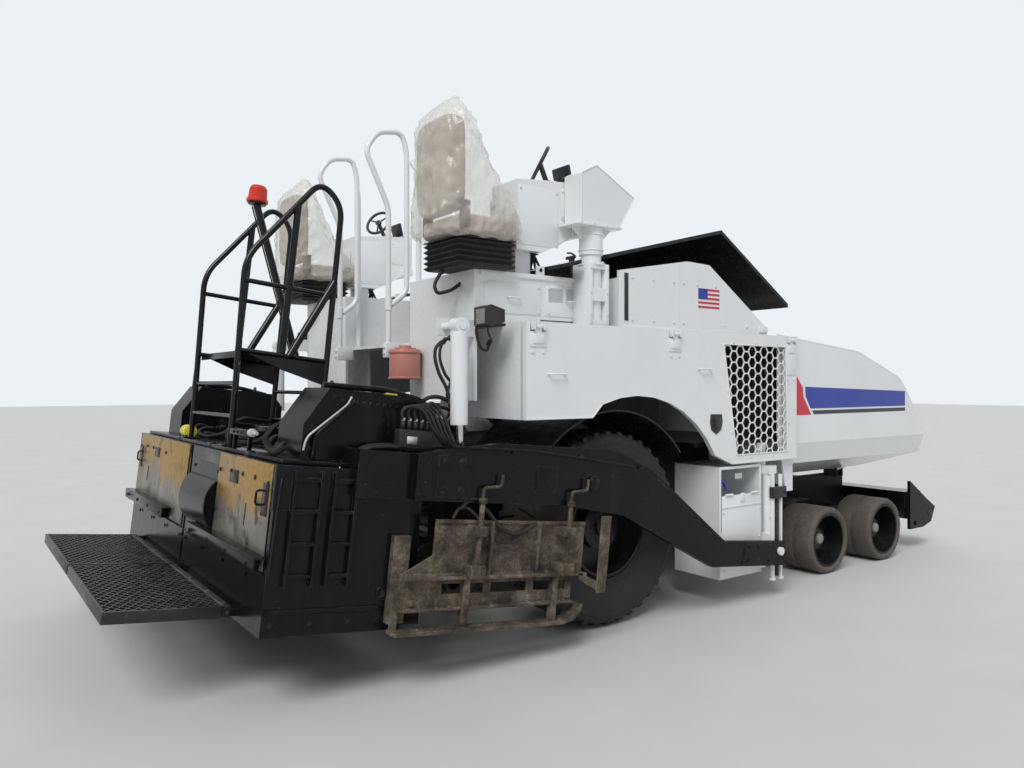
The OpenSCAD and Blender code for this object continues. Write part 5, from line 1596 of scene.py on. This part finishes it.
def makeGate(side, label):
    s, p = formSet, mirrored(side)
    bm = bmesh.new()
    sidePlate(bm, side, s["gate"], 1.59, 1.604)
    sideBox(bm, side, -1.65, -0.49, 1.59, 1.604, 0.06, 0.1425, 0)
    for low, high in ((-1.65, -1.4), (-1.13, -1.08), (-0.83, -0.78), (-0.54, -0.49)):
        sideBox(bm, side, low, high, 1.59, 1.604, 0.142, 0.1985, 0)
    sideBoxes(bm, side, ((-1.7, -1.605, 1.5455, 1.591, 0.0, 0.45, 0.003),
                         (-1.65, -0.42, 1.603, 1.662, 0.228, 0.246, 0.003),
                         (-1.65, -0.49, 1.603, 1.63, 0.06, 0.076, 0.003)))
    sidePlate(bm, side, s["ski"], 1.572, 1.668)
    sideBox(bm, side, -1.69, -1.65, 1.59, 1.604, -0.033, 0.23, 0)
    for x in (-1.26, -0.64):
        sideBox(bm, side, x - 0.02, x + 0.02, 1.6, 1.64, -0.033, 0.229)
    for x in s["jacks"]:
        y = side * s["jackY"]
        upRod(bm, x, y, 0.244, 0.642, 0.013, 18)
        for turn in range(30):
            upRod(bm, x, y, 0.325 + turn * 0.0105, 0.331 + turn * 0.0105, 0.0165, 18, 0.014)
        upRod(bm, x, y, 0.64, 0.668, 0.024, 18, soft=0.003)
        sideBox(bm, side, x - 0.048, x + 0.048, 1.603, 1.698, 0.24, 0.306, 0.004)
        sideBox(bm, side, x - 0.042, x + 0.042, 1.603, 1.696, 0.462, 0.516, 0.004)
        addTube(bm, [at(x, y, 0.66), at(x, y, 0.724), at(x + 0.118, y, 0.736), at(x + 0.118, y, 0.8)], 0.009, 0.02, 4)
        sideBolts(bm, side, 1.698, (x - 0.034, x + 0.034), (0.273,), 0.009)
    sideBoxes(bm, side, ((-0.342, -0.258, 1.66, 1.668, 0.12, 0.585), (-0.266, -0.258, 1.61, 1.668, 0.12, 0.585)))
    sidePlate(bm, side, [(-0.483, 0.246), (-0.483, 0.206), (-0.3, 0.122), (-0.262, 0.122), (-0.262, 0.162)], 1.652,
              1.662)
    # bolt heads, seams, ribs and lumps of old mix
    addBolts(bm, [p(x, 1.604, z) for x, z in s["gateBolts"]], (0, side, 0), 0.012)
    sideBoxes(bm, side, ((-1.13, -1.112, 1.603, 1.64, 0.245, 0.54), (-0.792, -0.774, 1.603, 1.632, 0.245, 0.54),
                         (-1.47, -0.42, 1.603, 1.616, 0.522, 0.54)))
    addWeld(bm, p(-1.64, 1.605, 0.249), p(-0.43, 1.605, 0.249), 0.005)
    addWeld(bm, p(-1.64, 1.606, 0.057), p(-0.5, 1.606, 0.057), 0.005)
    rand = random.Random(s["seed"])
    for lump in range(s["lumps"]):
        x, z = rand.uniform(-1.62, -0.45), rand.choice((0.248, 0.248, -0.03, 0.078))
        made = bmesh.ops.create_icosphere(bm, subdivisions=1, radius=rand.uniform(0.004, 0.011))["verts"]
        bmesh.ops.scale(bm, verts=made, vec=(1.5, 1, 0.6))
        bmesh.ops.translate(bm, verts=made, vec=at(x, side * rand.uniform(1.608, 1.626), z))
    hang(bm)
    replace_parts(finishPiece("endGate" + label, bm, gateCrust, "extension_" + label.lower()),
                "end_gate_" + label.lower())
    # two hoses over the gate
    bm = bmesh.new()
    path = [(-1.34, 0.6), (-1.28, 0.66), (-1.17, 0.6), (-1.06, 0.5), (-0.94, 0.47), (-0.82, 0.53)]
    addHose(bm, [p(x, 1.618 + 0.018 * (k % 2), z) for k, (x, z) in enumerate(path)], 0.012)
    addHose(bm, [p(x - 0.05, 1.632 - 0.012 * (k % 2), z - 0.05) for k, (x, z) in enumerate(path)], 0.009)
    hang(bm)
    finishPiece("gateHoses" + label, bm, hoseRubber, "extension_" + label.lower(), smooth=True)


def makeAuger(side, label):
    x, z, radius = formSet["auger"]
    bm = bmesh.new()
    sideRod(bm, side, x, 0.03, 1.35, z, 0.038, 32)
    sideRod(bm, side, x, 0.075, 1.35, z, 0.06, 32)
    rows = []
    for step in range(145):
        angle = 2 * math.pi * step / 36
        y = side * (0.09 + 0.3 * step / 36)
        rows.append([bm.verts.new(at(x + r * math.cos(angle), y + side * t, z + r * math.sin(angle)))
                     for r, t in ((0.058, 0), (radius, 0), (radius, 0.012), (0.058, 0.012))])
    made = [bm.faces.new(rows[0]), bm.faces.new(rows[-1])]
    for low, high in zip(rows, rows[1:]):
        made += wallFaces(bm, low, high)
    bmesh.ops.recalc_face_normals(bm, faces=made)
    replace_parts(finishPiece("augerScrew" + label, bm, oilySteel, "auger_" + label.lower()),
                "auger_" + label.lower())


for side, label in sides:
    for build in (makeGrille, makeWing, makeLadder, makeGate, makeAuger):
        build(side, label)
for build in (makeStations, makeStack, makeLamps, makeCanister, makeArms, makeScreedCovers):
    build()
print("fuller forms made")


# hoses, cables, pads and small fittings that the photograph shows on the near side: radius, then points
dressHoses = (
    (0.011, ((-1.12, -1.15, 2.297), (-1.168, -1.15, 2.156), (-1.106, -1.15, 2.154), (-0.985, -1.15, 2.223),
             (-0.89, -1.16, 2.33))),
    (0.01, ((-1.191, -1.38, 1.875), (-1.297, -1.38, 1.814), (-1.31, -1.38, 1.78), (-1.291, -1.38, 1.679),
             (-1.231, -1.38, 1.566), (-1.218, -1.4, 1.469))),
    (0.009, ((-1.19, -1.3, 1.867), (-1.23, -1.3, 1.796), (-1.203, -1.3, 1.67), (-1.149, -1.3, 1.594),
             (-1.13, -1.26, 1.45))),
    (0.012, ((-1.38, -1.25, 1.4), (-1.32, -1.25, 1.5), (-1.2, -1.27, 1.52), (-1.08, -1.24, 1.42), (-0.99, -1.2, 1.3))),
    (0.011, ((-1.36, -1.22, 1.36), (-1.28, -1.2, 1.44), (-1.16, -1.22, 1.46), (-1.04, -1.22, 1.38),
             (-1.00, -1.2, 1.29))),
    (0.012, ((-1.34, -1.17, 1.32), (-1.24, -1.14, 1.38), (-1.12, -1.15, 1.38), (-0.99, -1.16, 1.3))),
    (0.01, ((-1.05, -1.18, 1.66), (-1.12, -1.2, 1.54), (-1.1, -1.2, 1.44), (-1.16, -1.2, 1.36))),
    (0.01, ((-1.02, -1.14, 1.64), (-1.06, -1.14, 1.5), (-1.04, -1.14, 1.42), (-1.1, -1.14, 1.34))),
    (0.009, ((-0.98, -1.33, 2.00), (-1.00, -1.335, 1.9), (-0.94, -1.34, 1.8), (-0.9, -1.33, 1.86))))


def makeNearHoses():
    bm = bmesh.new()
    for radius, line in dressHoses:
        points = [at(*spot) for spot in line]
        addHose(bm, points, radius)
        for end, after in ((points[0], points[1]), (points[-1], points[-2])):
            addRod(bm, end, end + (after - end).normalized() * 0.035, radius * 1.5, 6)
    finishPiece("nearHoses", bm, hoseRubber, "tractor", smooth=True)
    # valve block with white-tipped fittings, and hoses lying over the screed's near end
    ports = [-1.675 + k * 0.038 for k in range(5)]
    bm = bmesh.new()
    addBox(bm, at(-1.7, -1.535, 0.9), at(-1.5, -1.46, 1.00), 0.006)
    for k, x in enumerate(ports):
        upRod(bm, x, -1.5, 1.0, 1.045, 0.013, 6)
        addHose(bm, [at(x, -1.5, 1.045), at(x - 0.01, -1.505, 1.1 + 0.012 * k), at(x + 0.07, -1.53 + 0.01 * k, 1.12),
                     at(x + 0.16, -1.54, 1.02 - 0.02 * k), at(-1.34 + 0.02 * k, -1.5, 0.86)], 0.009)
        addHose(bm, [at(x, -1.5, 0.905), at(x - 0.02, -1.53, 0.8), at(x - 0.1, -1.53, 0.72 - 0.02 * k),
                     at(x - 0.16, -1.5, 0.6)], 0.008)
    hang(bm)
    finishPiece("valveBlock", bm, hoseRubber, "screed", smooth=True)
    bm = bmesh.new()
    for x in ports:
        upRod(bm, x, -1.5, 1.045, 1.06, 0.01, 12)
    addBox(bm, at(-1.66, -1.5375, 0.925), at(-1.6, -1.535, 0.965))
    hang(bm)
    finishPiece("valveTips", bm, labelGrey, "screed", smooth=True)


def makeArmPads():
    # wear strips, brackets and cable clips along the near and far tow arm
    for side, label in reversed(sides):
        p = mirrored(side)
        bm = bmesh.new()
        for x, drop in ((-1.05, 0), (-0.55, 0), (-0.05, 0.03)):
            barBox(bm, x, x + 0.05, side * 1.651, 0.005, 0.915 - drop, 0.945 - drop)
        addTube(bm, [p(-1.45, 1.655, 0.93), p(-0.9, 1.655, 0.945), p(-0.1, 1.655, 0.9)], 0.008, 0.05, 4)
        sideRod(bm, side, -0.42, 1.644, 1.662, 0.78, 0.045, 28, soft=0.004)
        addBolts(bm, [p(-0.42 + 0.03 * math.cos(a), 1.662, 0.78 + 0.03 * math.sin(a)) for a in (0.5, 2.6, 4.7)],
                 (0, side, 0), 0.007, 0.004)
        hang(bm)
        finishPiece("armClips" + label, bm, armBlack, "screed")


makeNearHoses()
makeArmPads()
print("hoses and small fittings made")


setCamera()
setLight()
setFloor()
print("camera, light and yard set")
